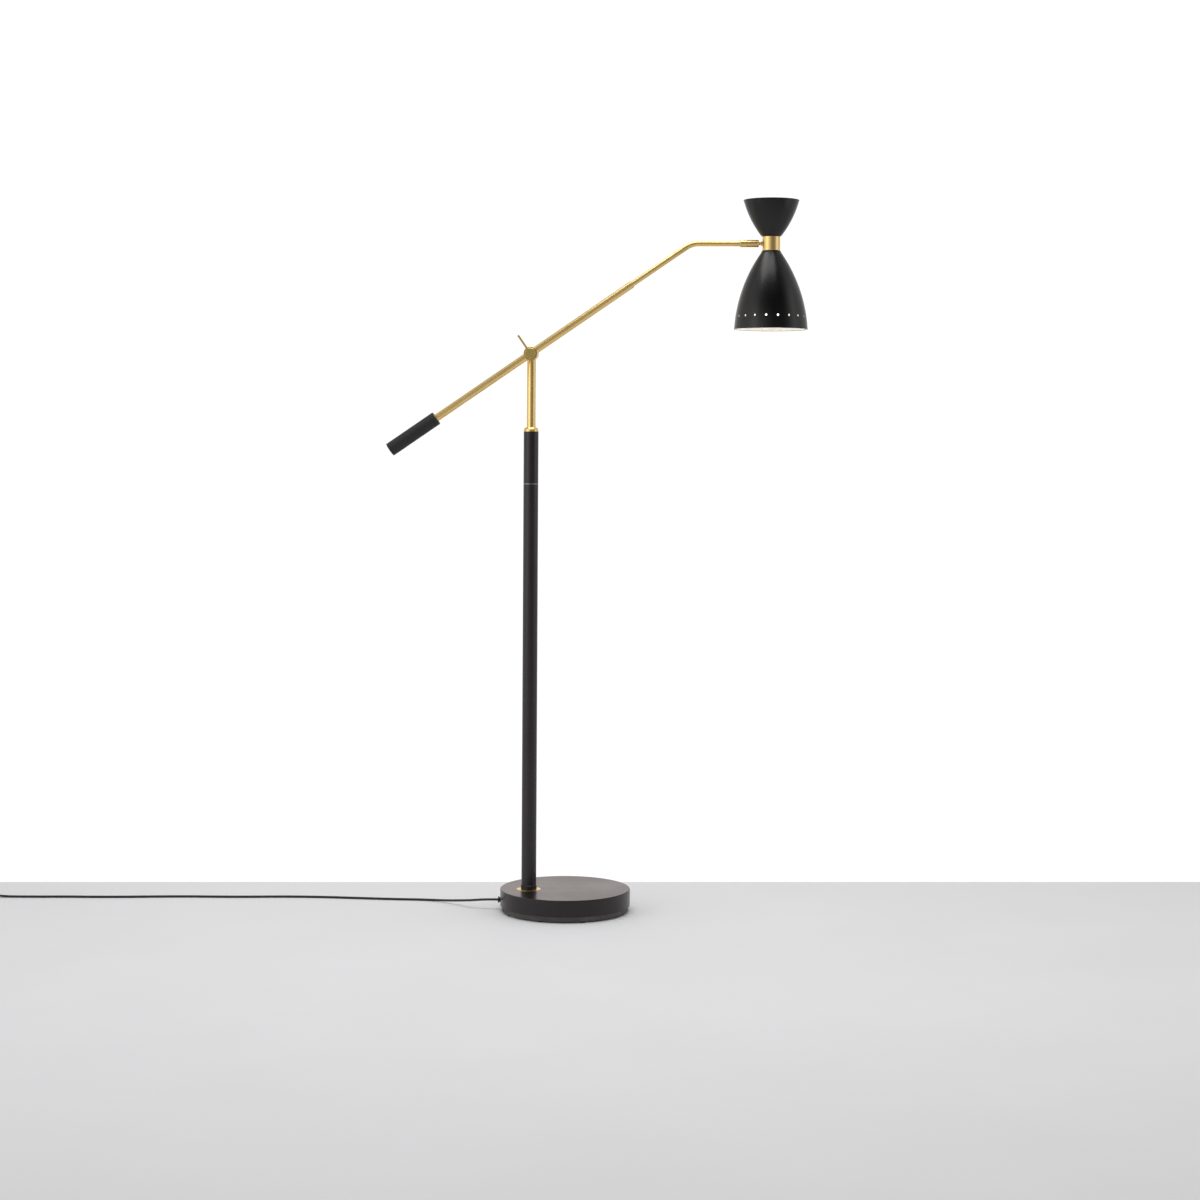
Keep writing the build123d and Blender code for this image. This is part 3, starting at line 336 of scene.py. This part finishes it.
SOCKET_BRASS = brass("socket_brass", 0.30, (1, 1, 6), NO_TURN, (0.72, 0.54, 0.27), (0.80, 0.62, 0.34))
PLUG_BRASS = brass("plug_brass", 0.22, (10, 1, 1), NO_TURN, (0.78, 0.62, 0.34), (0.85, 0.70, 0.44))
WEIGHT_IRON = cast_iron("weight_iron")
FOOT_RUBBER = rubber("foot_rubber")
CORD_RUBBER = rubber("cord_rubber", (0.012, 0.0115, 0.0115), (0.022, 0.021, 0.021), 0.48)
TIE_STRAP = rubber("tie_strap", (0.018, 0.018, 0.018), (0.034, 0.033, 0.033), 0.8)
BLACK_PLASTIC = plastic("black_plastic", (0.014, 0.014, 0.0145), (0.021, 0.021, 0.022), 0.46)
PHENOLIC = plastic("phenolic", (0.016, 0.013, 0.012), (0.026, 0.022, 0.020), 0.32, 260, 0.12)
NYLON = plastic("nylon", (0.66, 0.64, 0.58), (0.76, 0.74, 0.68), 0.45, 350, 0.25)
FIBRE = fibre("fibre_washer")
SHADE_WHITE = enamel("shade_inside")
BULB_LIT = lit_glass("bulb_lit")

NODE_MATERIALS = {
    BASE_PAINT: ["base_cover"],
    POLE_PAINT: ["pole_foot_collar", "pole_lower", "pole_upper"],
    GRIP_PAINT: ["counterweight_grip", "grip_end_cap"],
    MAST_BRASS: ["mast_tube"],
    ARM_BRASS: ["arm_tube_front", "arm_tube_rear", "arm_shoulder", "arm_extension"],
    LEVEL_BRASS: ["head_sleeve", "ball_stud"],
    TURNED_BRASS: ["escutcheon_ring", "pole_collar", "neck_band", "cap_nut"],
    HUB_BRASS: ["mast_knuckle", "hinge_bolt", "arm_hub", "clamp_knob", "clamp_lever"],
    SCREW_STEEL: [
        "plate_screws", "pole_stud", "pole_washer", "pole_nut", "pole_coupler",
        "mast_retainer", "counterweight_core", "stud_nut", "head_nipple", "head_nuts",
    ],
    PLATE_STEEL: ["base_plate"],
    BULB_ALUMINIUM: ["bulb_base"],
    SOCKET_BRASS: ["socket_shell"],
    PLUG_BRASS: ["plug_blades"],
    WEIGHT_IRON: ["base_weight"],
    FOOT_RUBBER: ["base_feet"],
    CORD_RUBBER: ["pole_lead", "mast_lead", "arm_lead", "head_lead"],
    BLACK_PLASTIC: ["cord_grommet", "switch_base", "switch_cover", "switch_button", "plug_body"],
    PHENOLIC: ["lamp_socket", "switch_block"],
    NYLON: ["thrust_washer", "swivel_bush", "ball_seat"],
    FIBRE: ["friction_washer"],
    BULB_LIT: ["bulb_glass"],
}
for material, names in NODE_MATERIALS.items():
    for name in names:
        for slot in nodes[name].material_slots:
            slot.link = "OBJECT"
            slot.material = material

# ================================================================ mesh helpers

SHARP_ANGLE = math.radians(35)
BEVEL_SEGMENTS = 3


def add_object(name, data, *materials):
    thing = bpy.data.objects.new(name, data)
    scene.collection.objects.link(thing)
    for material in materials:
        data.materials.append(material)
    return thing


def from_bmesh(name, made, *materials):
    """A smooth-shaded object from a bmesh, with its edges over the sharp angle left hard."""
    bmesh.ops.recalc_face_normals(made, faces=made.faces)
    for face in made.faces:
        face.smooth = True
    for edge in made.edges:
        edge.smooth = len(edge.link_faces) == 2 and edge.calc_face_angle(0) < SHARP_ANGLE
    data = bpy.data.meshes.new(name)
    made.to_mesh(data)
    made.free()
    return add_object(name, data, *materials)


def join_rings(made, rings):
    """Faces between each ring of vertices and the next, and from the last back to the first."""
    for first, second in zip(rings, rings[1:] + rings[:1]):
        for here in range(len(first)):
            after = (here + 1) % len(first)
            made.faces.new((first[here], second[here], second[after], first[after]))


def full_turn(count):
    """Evenly spaced angles all the way round."""
    return [2 * math.pi * number / count for number in range(count)]


def rounded_block(made, place, size, edge):
    """Adds a box with rounded edges to a bmesh: place is the matrix of its middle."""
    new = bmesh.ops.create_cube(made, size=1, matrix=place @ Matrix.Diagonal((*size, 1)))
    edges = list(dict.fromkeys(e for v in new["verts"] for e in v.link_edges))
    bmesh.ops.bevel(
        made, geom=edges, offset=edge, segments=BEVEL_SEGMENTS, affect="EDGES", profile=0.5
    )


def circle_through(a, b, c):
    """Centre and radius of the circle through three points of a plane."""
    (ax, ay), (bx, by), (cx, cy) = a, b, c
    d = 2 * (ax * (by - cy) + bx * (cy - ay) + cx * (ay - by))
    a2, b2, c2 = ax**2 + ay**2, bx**2 + by**2, cx**2 + cy**2
    ux = (a2 * (by - cy) + b2 * (cy - ay) + c2 * (ay - by)) / d
    uy = (a2 * (cx - bx) + b2 * (ax - cx) + c2 * (bx - ax)) / d
    return Vector((ux, uy)), math.hypot(ax - ux, ay - uy)


# ================================================================ shades

SHADE_WALL = 1.0 * MM
SHADE_SEGMENTS = 190
ARC_STEPS = 40
NECK_HOLE_R = 5.2 * MM
NECK_EDGE = 1.2 * MM

HEM_R = 0.9 * MM
HEM_INSET = 0.6 * MM
HEM_STEPS = 8
HEM_START = 0.08
HEM_SWEEP = 0.84

HOLE_COUNT = 19
HOLE_R = 2.35 * MM
HOLE_HEIGHT = 27.5 * MM
HOLE_START = math.radians(-98.8)
HOLE_SEGMENTS = 28

# A face is on the curved wall if it faces nearly along the arc's radius and lies near the arc, and on the
# neck's flat floor if it faces nearly up or down and lies near the neck's height.
WALL_FACING = 0.97
WALL_REACH = 1.3 * MM
LEVEL_FACING = 0.95
LEVEL_REACH = 2 * MM
SLIVER_AREA = 2e-6


def shade(name, neck, mid, rim, holes, inner_material):
    """A spun shade: two arcs a wall apart, a rolled hem at the rim and a flat neck, as one closed skin."""
    centre, radius = circle_through(neck, mid, rim)
    start = math.atan2(neck[1] - centre.y, neck[0] - centre.x)
    end = math.atan2(rim[1] - centre.y, rim[0] - centre.x)
    angles = [start + (end - start) * i / ARC_STEPS for i in range(ARC_STEPS + 1)]
    downwards = 1 if rim[1] < neck[1] else -1

    def arc(r):
        return [(centre.x + r * math.cos(a), centre.y + r * math.sin(a)) for a in angles]

    outer = arc(radius)
    inner = [p for p in arc(radius - SHADE_WALL) if (neck[1] - p[1]) * downwards > SHADE_WALL]
    hem_turns = [math.pi * (HEM_START + HEM_SWEEP * i / HEM_STEPS) for i in range(HEM_STEPS + 1)]
    hem = [
        (rim[0] - HEM_INSET + HEM_R * math.cos(t), rim[1] + downwards * HEM_R * (0.9 - math.sin(t)))
        for t in hem_turns
    ]
    floor_z = neck[1] - downwards * SHADE_WALL
    outside = [(NECK_HOLE_R, neck[1]), (neck[0] - NECK_EDGE, neck[1])] + outer[1:-1]
    inside = [(NECK_HOLE_R, floor_z), (inner[0][0], floor_z)] + inner[1:-1]
    skin = from_bmesh(name, revolve(outside + hem + inside[::-1]), SHADE_PAINT, inner_material)
    if holes:
        cut_holes(skin, rim[1] + HOLE_HEIGHT, rim[0])
    finish_shade(skin, centre, radius, neck[1], rim[1])
    return skin


def revolve(profile):
    """A closed ring of section points (radius, height), turned about the head's upright axis."""
    made = bmesh.new()
    rings = []
    for turn in full_turn(SHADE_SEGMENTS):
        cos, sin = math.cos(turn), math.sin(turn)
        rings.append([made.verts.new((HEAD.x + cos * r, HEAD.y + sin * r, z)) for r, z in profile])
    join_rings(made, rings)
    return made


def cut_holes(skin, height, reach):
    """Drills the ring of vent holes."""
    cutter = bmesh.new()
    for turn in full_turn(HOLE_COUNT):
        angle = HOLE_START + turn
        outward = Vector((math.cos(angle), math.sin(angle), 0))
        place = Matrix.Translation(HEAD + outward * reach)
        place.translation.z = height
        bmesh.ops.create_cone(
            cutter,
            cap_ends=True,
            segments=HOLE_SEGMENTS,
            radius1=HOLE_R,
            radius2=HOLE_R,
            depth=reach,
            matrix=place @ outward.to_track_quat("Z", "Y").to_matrix().to_4x4(),
        )
    tool = from_bmesh("hole_cutter", cutter)
    modifier = skin.modifiers.new("holes", "BOOLEAN")
    modifier.object = tool
    modifier.solver = "EXACT"
    depsgraph = bpy.context.evaluated_depsgraph_get()
    skin.data = bpy.data.meshes.new_from_object(skin.evaluated_get(depsgraph))
    skin.modifiers.clear()
    bpy.data.objects.remove(tool)


def wall_normal(point, centre):
    """The spun wall's outward normal at a point, and how far the point is from the arc's centre."""
    side = Vector((point.x - HEAD.x, point.y - HEAD.y))
    slope = Vector((side.length, point.z)) - centre
    reach = slope.length
    slope.normalize()
    side.normalize()
    return Vector((side.x * slope.x, side.y * slope.x, slope.y)), reach


def finish_shade(skin, centre, radius, neck_z, rim_z):
    """Gives the wall its true curved normals, and the inside its own finish."""
    data = skin.data
    normals = [None] * len(data.loops)
    for face in data.polygons:
        outward, reach = wall_normal(face.center, centre)
        facing = outward.dot(face.normal)
        on_wall = abs(facing) > WALL_FACING and abs(reach - radius) < WALL_REACH
        level = abs(face.normal.z) > LEVEL_FACING and abs(face.center.z - neck_z) < LEVEL_REACH
        if level:
            is_inner = (face.normal.z < 0) == (rim_z < neck_z)
        else:
            is_inner = on_wall and facing < 0
        face.material_index = 1 if is_inner else 0
        for loop in face.loop_indices:
            if on_wall and not level:
                normal, _ = wall_normal(data.vertices[data.loops[loop].vertex_index].co, centre)
                normals[loop] = normal if facing > 0 else -normal
            elif level or face.area < SLIVER_AREA:
                normals[loop] = face.normal.copy()
            else:
                normals[loop] = data.corner_normals[loop].vector.copy()
    data.normals_split_custom_set([n[:] for n in normals])


# The neck's, a middle and the rim's (radius, height) fix each shade's arc.
lower = shade(
    "lower_shade_skin",
    (18.5 * MM, LOWER_HIGH.z),
    (54.4 * MM, LOWER_HIGH.z - 64 * MM),
    ((LOWER_HIGH.x - LOWER_LOW.x) / 2, LOWER_LOW.z),
    True,
    SHADE_WHITE,
)
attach(lower, "head")
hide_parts("shade_lower")
upper = shade(
    "upper_shade_skin",
    (20.6 * MM, UPPER_LOW.z),
    (44.2 * MM, UPPER_LOW.z + 37.3 * MM),
    ((UPPER_HIGH.x - UPPER_LOW.x) / 2, UPPER_HIGH.z),
    False,
    SHADE_PAINT,
)
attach(upper, "head")
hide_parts("shade_upper")

# ================================================================ cords

CORD_R = 2.5 * MM

# The same route as the CAD's, in metres.
LEAD_ROUTE = [
    (-0.1452, 0, 0.021),
    (-0.172, 0, 0.021),
    (-0.207, 0.013, 0.0156),
    (-0.239, 0.040, 0.0094),
    (-0.273, 0.065, 0.004),
    (-0.316, 0.079, 0.0025),
    (-0.370, 0.079, 0.0025),
    (-0.434, 0.082, 0.0025),
    (-0.500, 0.0875, 0.0025),
    (-0.566, 0.0905, 0.0025),
    (-0.633, 0.088, 0.0025),
    (-0.700, 0.080, 0.0025),
    (-0.768, 0.075, 0.0025),
    (-0.836, 0.0735, 0.0025),
    (-0.905, 0.067, 0.0025),
    (-0.973, 0.058, 0.0025),
    (-1.041, 0.052, 0.0025),
    (-1.106, 0.050, 0.0025),
    (-1.170, 0.044, 0.0025),
    (-1.228, 0.041, 0.0025),
    (-1.254, 0.0408, 0.0036),
    (-1.278, 0.041, 0.008),
    (-1.301, 0.041, 0.008),
]
LINK_ROUTE = [
    (-1.389, 0.041, 0.008),
    (-1.411, 0.041, 0.008),
    (-1.434, 0.0412, 0.0034),
]
TAIL_END = (-1.437, -0.0245, 0.0075)

COIL_TURN_POINTS = 24


def cord_curve(name, points):
    """A round cord whose centreline is a smooth spline with these control points."""
    data = bpy.data.curves.new(name, "CURVE")
    data.dimensions = "3D"
    data.bevel_depth = CORD_R
    data.bevel_resolution = 5
    data.resolution_u = 6
    data.use_fill_caps = True
    line = data.splines.new("NURBS")
    line.points.add(len(points) - 1)
    for target, point in zip(line.points, points):
        target.co = (*point, 1)
    line.order_u = 3
    line.use_endpoint_u = True
    return add_object(name, data, CORD_RUBBER)


def coil_points():
    """Two layers of turns wound inwards and then outwards, each turn a diameter from the last."""
    pitch = 2 * CORD_R
    outer = COIL_OUTER_R - CORD_R
    between = outer - pitch
    inner = outer - 2 * pitch
    low, high = CORD_R, CORD_R + pitch
    # a control point is this much further out than the turn that it makes
    reach = 1 / math.cos(math.pi / COIL_TURN_POINTS)
    # (angle in degrees, radius, height) where each stretch of the winding starts or ends
    stretches = [
        (90, outer, low),
        (390, outer, low),
        (450, between, low),
        (750, between, low),
        (810, inner, low),
        (1110, inner, low),
        (1170, inner, high),
        (1410, inner, high),
        (1470, between, high),
        (1770, between, high),
        (1830, outer, high),
        (2070, outer, high),
    ]
    points = []
    for (start, r0, z0), (end, r1, z1) in zip(stretches, stretches[1:]):
        count = round((end - start) * COIL_TURN_POINTS / 360)
        for number in range(count):
            part = number / count
            ease = part * part * (3 - 2 * part)
            angle = math.radians(start + (end - start) * part)
            radius = (r0 + (r1 - r0) * ease) * reach
            points.append((
                COIL.x + radius * math.cos(angle),
                COIL.y + radius * math.sin(angle),
                z0 + (z1 - z0) * ease,
            ))
    return points


# ================================================================ moulded details on the cord's fittings

RELIEF_R = 3.5 * MM
RIB_WALL = 0.7 * MM
RIB_SEGMENTS = 40
RIB_SECTION = [(RIB_WALL * math.cos(t), RIB_WALL * math.sin(t)) for t in full_turn(8)]

SWITCH_RIB_FIRST = 1.4 * MM
SWITCH_RIB_PITCH = 2.2 * MM
SWITCH_RIB_COUNT = 4
SWITCH_RELIEF_TAPER = math.tan(math.radians(8))

PLUG_Y = (PLUG_LOW.y + PLUG_HIGH.y) / 2
PLUG_Z = TAIL_END[2]
PLUG_RIB_FIRST = 1.5 * MM
PLUG_RIB_PITCH = 2.6 * MM
PLUG_RIB_COUNT = 6
PLUG_RELIEF_TAPER = math.tan(math.radians(5))

GRIP_BAR_COUNT = 5
GRIP_BAR_FIRST = 8 * MM
GRIP_BAR_PITCH = 2.6 * MM
GRIP_BAR_OUT = 11.4 * MM
GRIP_BAR_SIZE = (1.2 * MM, 1.8 * MM, 6.4 * MM)
GRIP_BAR_EDGE = 0.35 * MM

TIE_TURN = math.radians(-28)
TIE_INSET = 7.5 * MM
TIE_WALL = 0.9 * MM
TIE_HALF_R = 8.1 * MM
TIE_HALF_Z = 5.35 * MM
TIE_CORNER = 2.6 * MM
TIE_CORNER_STEPS = 7
TIE_LIFT = 0.02 * MM
# (place across the strap in mm, share of the wall's thickness there)
TIE_CROWN = [(-4.5, 0.55), (-4.1, 0.85), (-2.6, 1.0), (0, 1.0), (2.6, 1.0), (4.1, 0.85), (4.5, 0.55)]
TIE_TAB_BACK = 1.5 * MM
TIE_TAB_SIZE = (7 * MM, 8.2 * MM, 1.3 * MM)
TIE_TAB_EDGE = 0.5 * MM


def ribs(name, centre_y, centre_z, places):
    """Moulded rings round a strain relief that runs along X: places are (x, radius) of each ring."""
    made = bmesh.new()
    for x, radius in places:
        rings = []
        for turn in full_turn(RIB_SEGMENTS):
            cos, sin = math.cos(turn), math.sin(turn)
            rings.append([
                made.verts.new((x + dx, centre_y + (radius + dr) * cos, centre_z + (radius + dr) * sin))
                for dr, dx in RIB_SECTION
            ])
        join_rings(made, rings)
    return from_bmesh(name, made, BLACK_PLASTIC)


def switch_relief_ribs():
    """Rings on the tapered reliefs at both ends of the foot switch."""
    places = []
    for end, side in ((SWITCH_LOW.x, 1), (SWITCH_HIGH.x, -1)):
        for number in range(SWITCH_RIB_COUNT):
            along = SWITCH_RIB_FIRST + SWITCH_RIB_PITCH * number
            places.append((end + side * along, RELIEF_R + along * SWITCH_RELIEF_TAPER))
    return ribs("switch_relief_ribs", SWITCH.y, LEAD_ROUTE[-1][2], places)


def plug_relief_ribs():
    """Rings on the plug's tapered relief."""
    places = []
    for number in range(PLUG_RIB_COUNT):
        along = PLUG_RIB_FIRST + PLUG_RIB_PITCH * number
        places.append((PLUG_LOW.x + along, RELIEF_R + along * PLUG_RELIEF_TAPER))
    return ribs("plug_relief_ribs", PLUG_Y, PLUG_Z, places)


def plug_grip_bars():
    """Finger bars on both sides of the plug."""
    made = bmesh.new()
    for side in (-1, 1):
        for number in range(GRIP_BAR_COUNT):
            x = PLUG_HIGH.x - GRIP_BAR_FIRST - GRIP_BAR_PITCH * number
            place = Matrix.Translation((x, PLUG_Y + side * GRIP_BAR_OUT, PLUG_Z))
            rounded_block(made, place, GRIP_BAR_SIZE, GRIP_BAR_EDGE)
    return from_bmesh("plug_grip_bars", made, BLACK_PLASTIC)


def tie_section():
    """The strap's path round the coil's turns, a rounded rectangle of (outward, upward) points."""
    path = []
    for quarter, (right, up) in enumerate(((1, 1), (-1, 1), (-1, -1), (1, -1))):
        for step in range(TIE_CORNER_STEPS):
            t = math.radians(90 * quarter + 90 * step / (TIE_CORNER_STEPS - 1))
            path.append((
                right * (TIE_HALF_R - TIE_CORNER) + TIE_CORNER * math.cos(t),
                up * (TIE_HALF_Z - TIE_CORNER) + TIE_CORNER * math.sin(t),
            ))
    return path


def coil_tie():
    """A soft strap round the coil's turns, with its end tab on top."""
    outward = Vector((math.cos(TIE_TURN), math.sin(TIE_TURN), 0))
    along = Vector((-outward.y, outward.x, 0))
    up = Vector((0, 0, 1))
    centre = Vector((COIL.x, COIL.y, TIE_HALF_Z + TIE_LIFT)) + outward * (COIL_OUTER_R - TIE_INSET)
    made = bmesh.new()
    rings = []
    for r, z in tie_section():
        on_path = centre + outward * r + up * z
        away = (outward * r + up * z).normalized()
        crown = [on_path + away * TIE_WALL * (c - 1) + along * w * MM for w, c in TIE_CROWN]
        back = [on_path - away * TIE_WALL + along * w * MM for w in (TIE_CROWN[-1][0], TIE_CROWN[0][0])]
        rings.append([made.verts.new(p) for p in crown + back])
    join_rings(made, rings)
    tab = Matrix.Translation(centre + up * TIE_HALF_Z - outward * TIE_TAB_BACK)
    rounded_block(made, tab @ Matrix.Rotation(TIE_TURN, 4, "Z"), TIE_TAB_SIZE, TIE_TAB_EDGE)
    return from_bmesh("coil_tie", made, TIE_STRAP)


def ride_stand(piece):
    """A detail that stays with the stand."""
    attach(piece, "stand")
    return piece


switch_ribs = ride_stand(switch_relief_ribs())
plug_ribs = ride_stand(plug_relief_ribs())
plug_grips = ride_stand(plug_grip_bars())
strap = ride_stand(coil_tie())

lead = cord_curve("mains_lead", LEAD_ROUTE)
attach(lead, "stand")
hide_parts("cord_lead")
tail = cord_curve("coiled_lead", LINK_ROUTE + coil_points() + [(COIL.x, TAIL_END[1], TAIL_END[2]), TAIL_END])
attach(tail, "stand")
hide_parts("cord_link", "cord_coil", "cord_tail")

# ================================================================ floor, light and camera

VIEW_TURN = math.radians(3)
VIEW_RIGHT = Vector((math.cos(VIEW_TURN), math.sin(VIEW_TURN), 0))
VIEW_AHEAD = Vector((-math.sin(VIEW_TURN), math.cos(VIEW_TURN), 0))
CAMERA_DISTANCE = 4.944
CAMERA_SIDE = 0.0703
CAMERA_HEIGHT = 1.009
CAMERA_ROLL = math.radians(0.3)
SENSOR_WIDTH = 36
LENS = 68.7
SHIFT_UP = -0.1308
CLIP_END = 100

FLOOR_BEHIND = 0.319
FLOOR_FRONT = -7
FLOOR_SIDE = 5
FLOOR_EDGE_SHIFT = FLOOR_SIDE * math.tan(math.radians(1.57))

# Brightness, or colour, round the horizon and round the upper part: from the back at 0 through the left at
# 0.25, the front at 0.5 and the right at 0.75 to the back again.
BACK_TINT = (0.80, 0.73, 0.715)
AROUND = [
    (0.0, BACK_TINT), (0.15, 0.44), (0.25, 0.64), (0.34, 0.90), (0.41, 0.74), (0.47, 0.32),
    (0.53, 0.13), (0.61, 0.13), (0.67, 0.30), (0.73, 0.50), (0.78, 0.48), (0.88, 0.42), (1.0, BACK_TINT),
]
AROUND_HIGH = [
    (0.0, 0.60), (0.20, 0.50), (0.28, 0.76), (0.34, 0.56), (0.40, 0.14), (0.46, 0.04),
    (0.62, 0.03), (0.68, 0.34), (0.73, 0.72), (0.80, 0.60), (1.0, 0.60),
]
# From straight down at 0 to straight up at 1: how much the upper part counts, and the brightness.
HIGH_SHARE = [(0.60, 0.0), (0.75, 1.0)]
UPWARDS = [(0.0, 0.7), (0.45, 0.9), (0.55, 1.0), (0.70, 0.8), (0.85, 0.6), (1.0, 0.5)]
WORLD_STRENGTH = 1.6
WHITE_STRENGTH = 1.05


def make_floor():
    """A plain pale floor that ends a little behind the lamp."""
    s = Shader("floor_paper", 0.85, IOR=1.4)
    clouds = s.noise(3, detail=3, rough=0.5)
    base = s.two_tone(clouds, (0.83, 0.833, 0.845), (0.85, 0.853, 0.865))
    paper = s.finish(base, s.spread(clouds, 0.82, 0.88))
    made = bmesh.new()
    corners = [
        (-FLOOR_SIDE, FLOOR_FRONT),
        (FLOOR_SIDE, FLOOR_FRONT),
        (FLOOR_SIDE, FLOOR_BEHIND + FLOOR_EDGE_SHIFT),
        (-FLOOR_SIDE, FLOOR_BEHIND - FLOOR_EDGE_SHIFT),
    ]
    made.faces.new([made.verts.new(VIEW_RIGHT * u + VIEW_AHEAD * d) for u, d in corners])
    floor = from_bmesh("floor", made, paper)


def background(tree, strength, colour=None):
    """A background of one strength, white unless it has a colour."""
    node = tree.nodes.new("ShaderNodeBackground")
    node.inputs["Strength"].default_value = strength
    node.inputs["Color"].default_value = (1, 1, 1, 1)
    if colour:
        tree.links.new(colour, node.inputs["Color"])
    return node.outputs["Background"]


def make_world():
    """White to the eye. As light it is soft boxes all round, with a dark gap in front and a dim ceiling."""
    world = bpy.data.worlds.new("studio")
    scene.world = world
    world.use_nodes = True
    tree = world.node_tree
    tree.nodes.clear()
    place = tree.nodes.new("ShaderNodeTexCoord")
    ways = split_xyz(tree, place.outputs["Generated"])
    forwards = maths(tree, "MULTIPLY", ways["Y"], -1)
    bearing = remap(tree, maths(tree, "ARCTAN2", ways["X"], forwards), -math.pi, math.pi)
    height = remap(tree, ways["Z"], -1, 1)
    low_sides = ramp(tree, bearing, AROUND, "EASE")
    high_sides = ramp(tree, bearing, AROUND_HIGH, "EASE")
    sides = mix_colours(tree, low_sides, high_sides, ramp(tree, height, HIGH_SHARE, "EASE"))
    glow = mix_colours(tree, sides, ramp(tree, height, UPWARDS, "EASE"), blend="MULTIPLY")
    path = tree.nodes.new("ShaderNodeLightPath")
    mix = tree.nodes.new("ShaderNodeMixShader")
    tree.links.new(path.outputs["Is Camera Ray"], mix.inputs["Fac"])
    tree.links.new(background(tree, WORLD_STRENGTH, glow), mix.inputs[1])
    tree.links.new(background(tree, WHITE_STRENGTH), mix.inputs[2])
    out = tree.nodes.new("ShaderNodeOutputWorld")
    tree.links.new(mix.outputs["Shader"], out.inputs["Surface"])


def softbox(name, place, target, width, height, power):
    """A soft rectangular light that the camera doesn't see."""
    data = bpy.data.lights.new(name, "AREA")
    data.shape = "RECTANGLE"
    data.size = width
    data.size_y = height
    data.energy = power
    lamp = add_object(name, data)
    lamp.location = place
    lamp.rotation_euler = (Vector(target) - Vector(place)).to_track_quat("-Z", "Y").to_euler()
    lamp.visible_camera = False


def make_camera():
    """A level camera, turned and rolled to the photograph's view."""
    data = bpy.data.cameras.new("camera")
    data.sensor_width = SENSOR_WIDTH
    data.lens = LENS
    data.shift_y = SHIFT_UP
    data.clip_end = CLIP_END
    camera = add_object("camera", data)
    camera.location = VIEW_RIGHT * CAMERA_SIDE - VIEW_AHEAD * CAMERA_DISTANCE + Vector((0, 0, CAMERA_HEIGHT))
    turn = Matrix.Rotation(VIEW_TURN, 3, "Z") @ Matrix.Rotation(math.radians(90), 3, "X")
    camera.rotation_euler = (turn @ Matrix.Rotation(CAMERA_ROLL, 3, "Z")).to_euler()
    scene.camera = camera


make_floor()
make_world()
softbox("left_softbox", place=(-2.3, -1.9, 1.4), target=(0, 0, 0.9), width=1.2, height=2.4, power=5)
softbox("right_softbox", place=(2.8, -0.6, 1.4), target=(0.1, 0, 0.9), width=1.0, height=2.4, power=4)
softbox("top_softbox", place=(0, -0.3, 3.2), target=(0, 0, 0), width=2.0, height=2.0, power=46)
make_camera()
scene.view_settings.view_transform = "Standard"
scene.view_settings.look = "None"
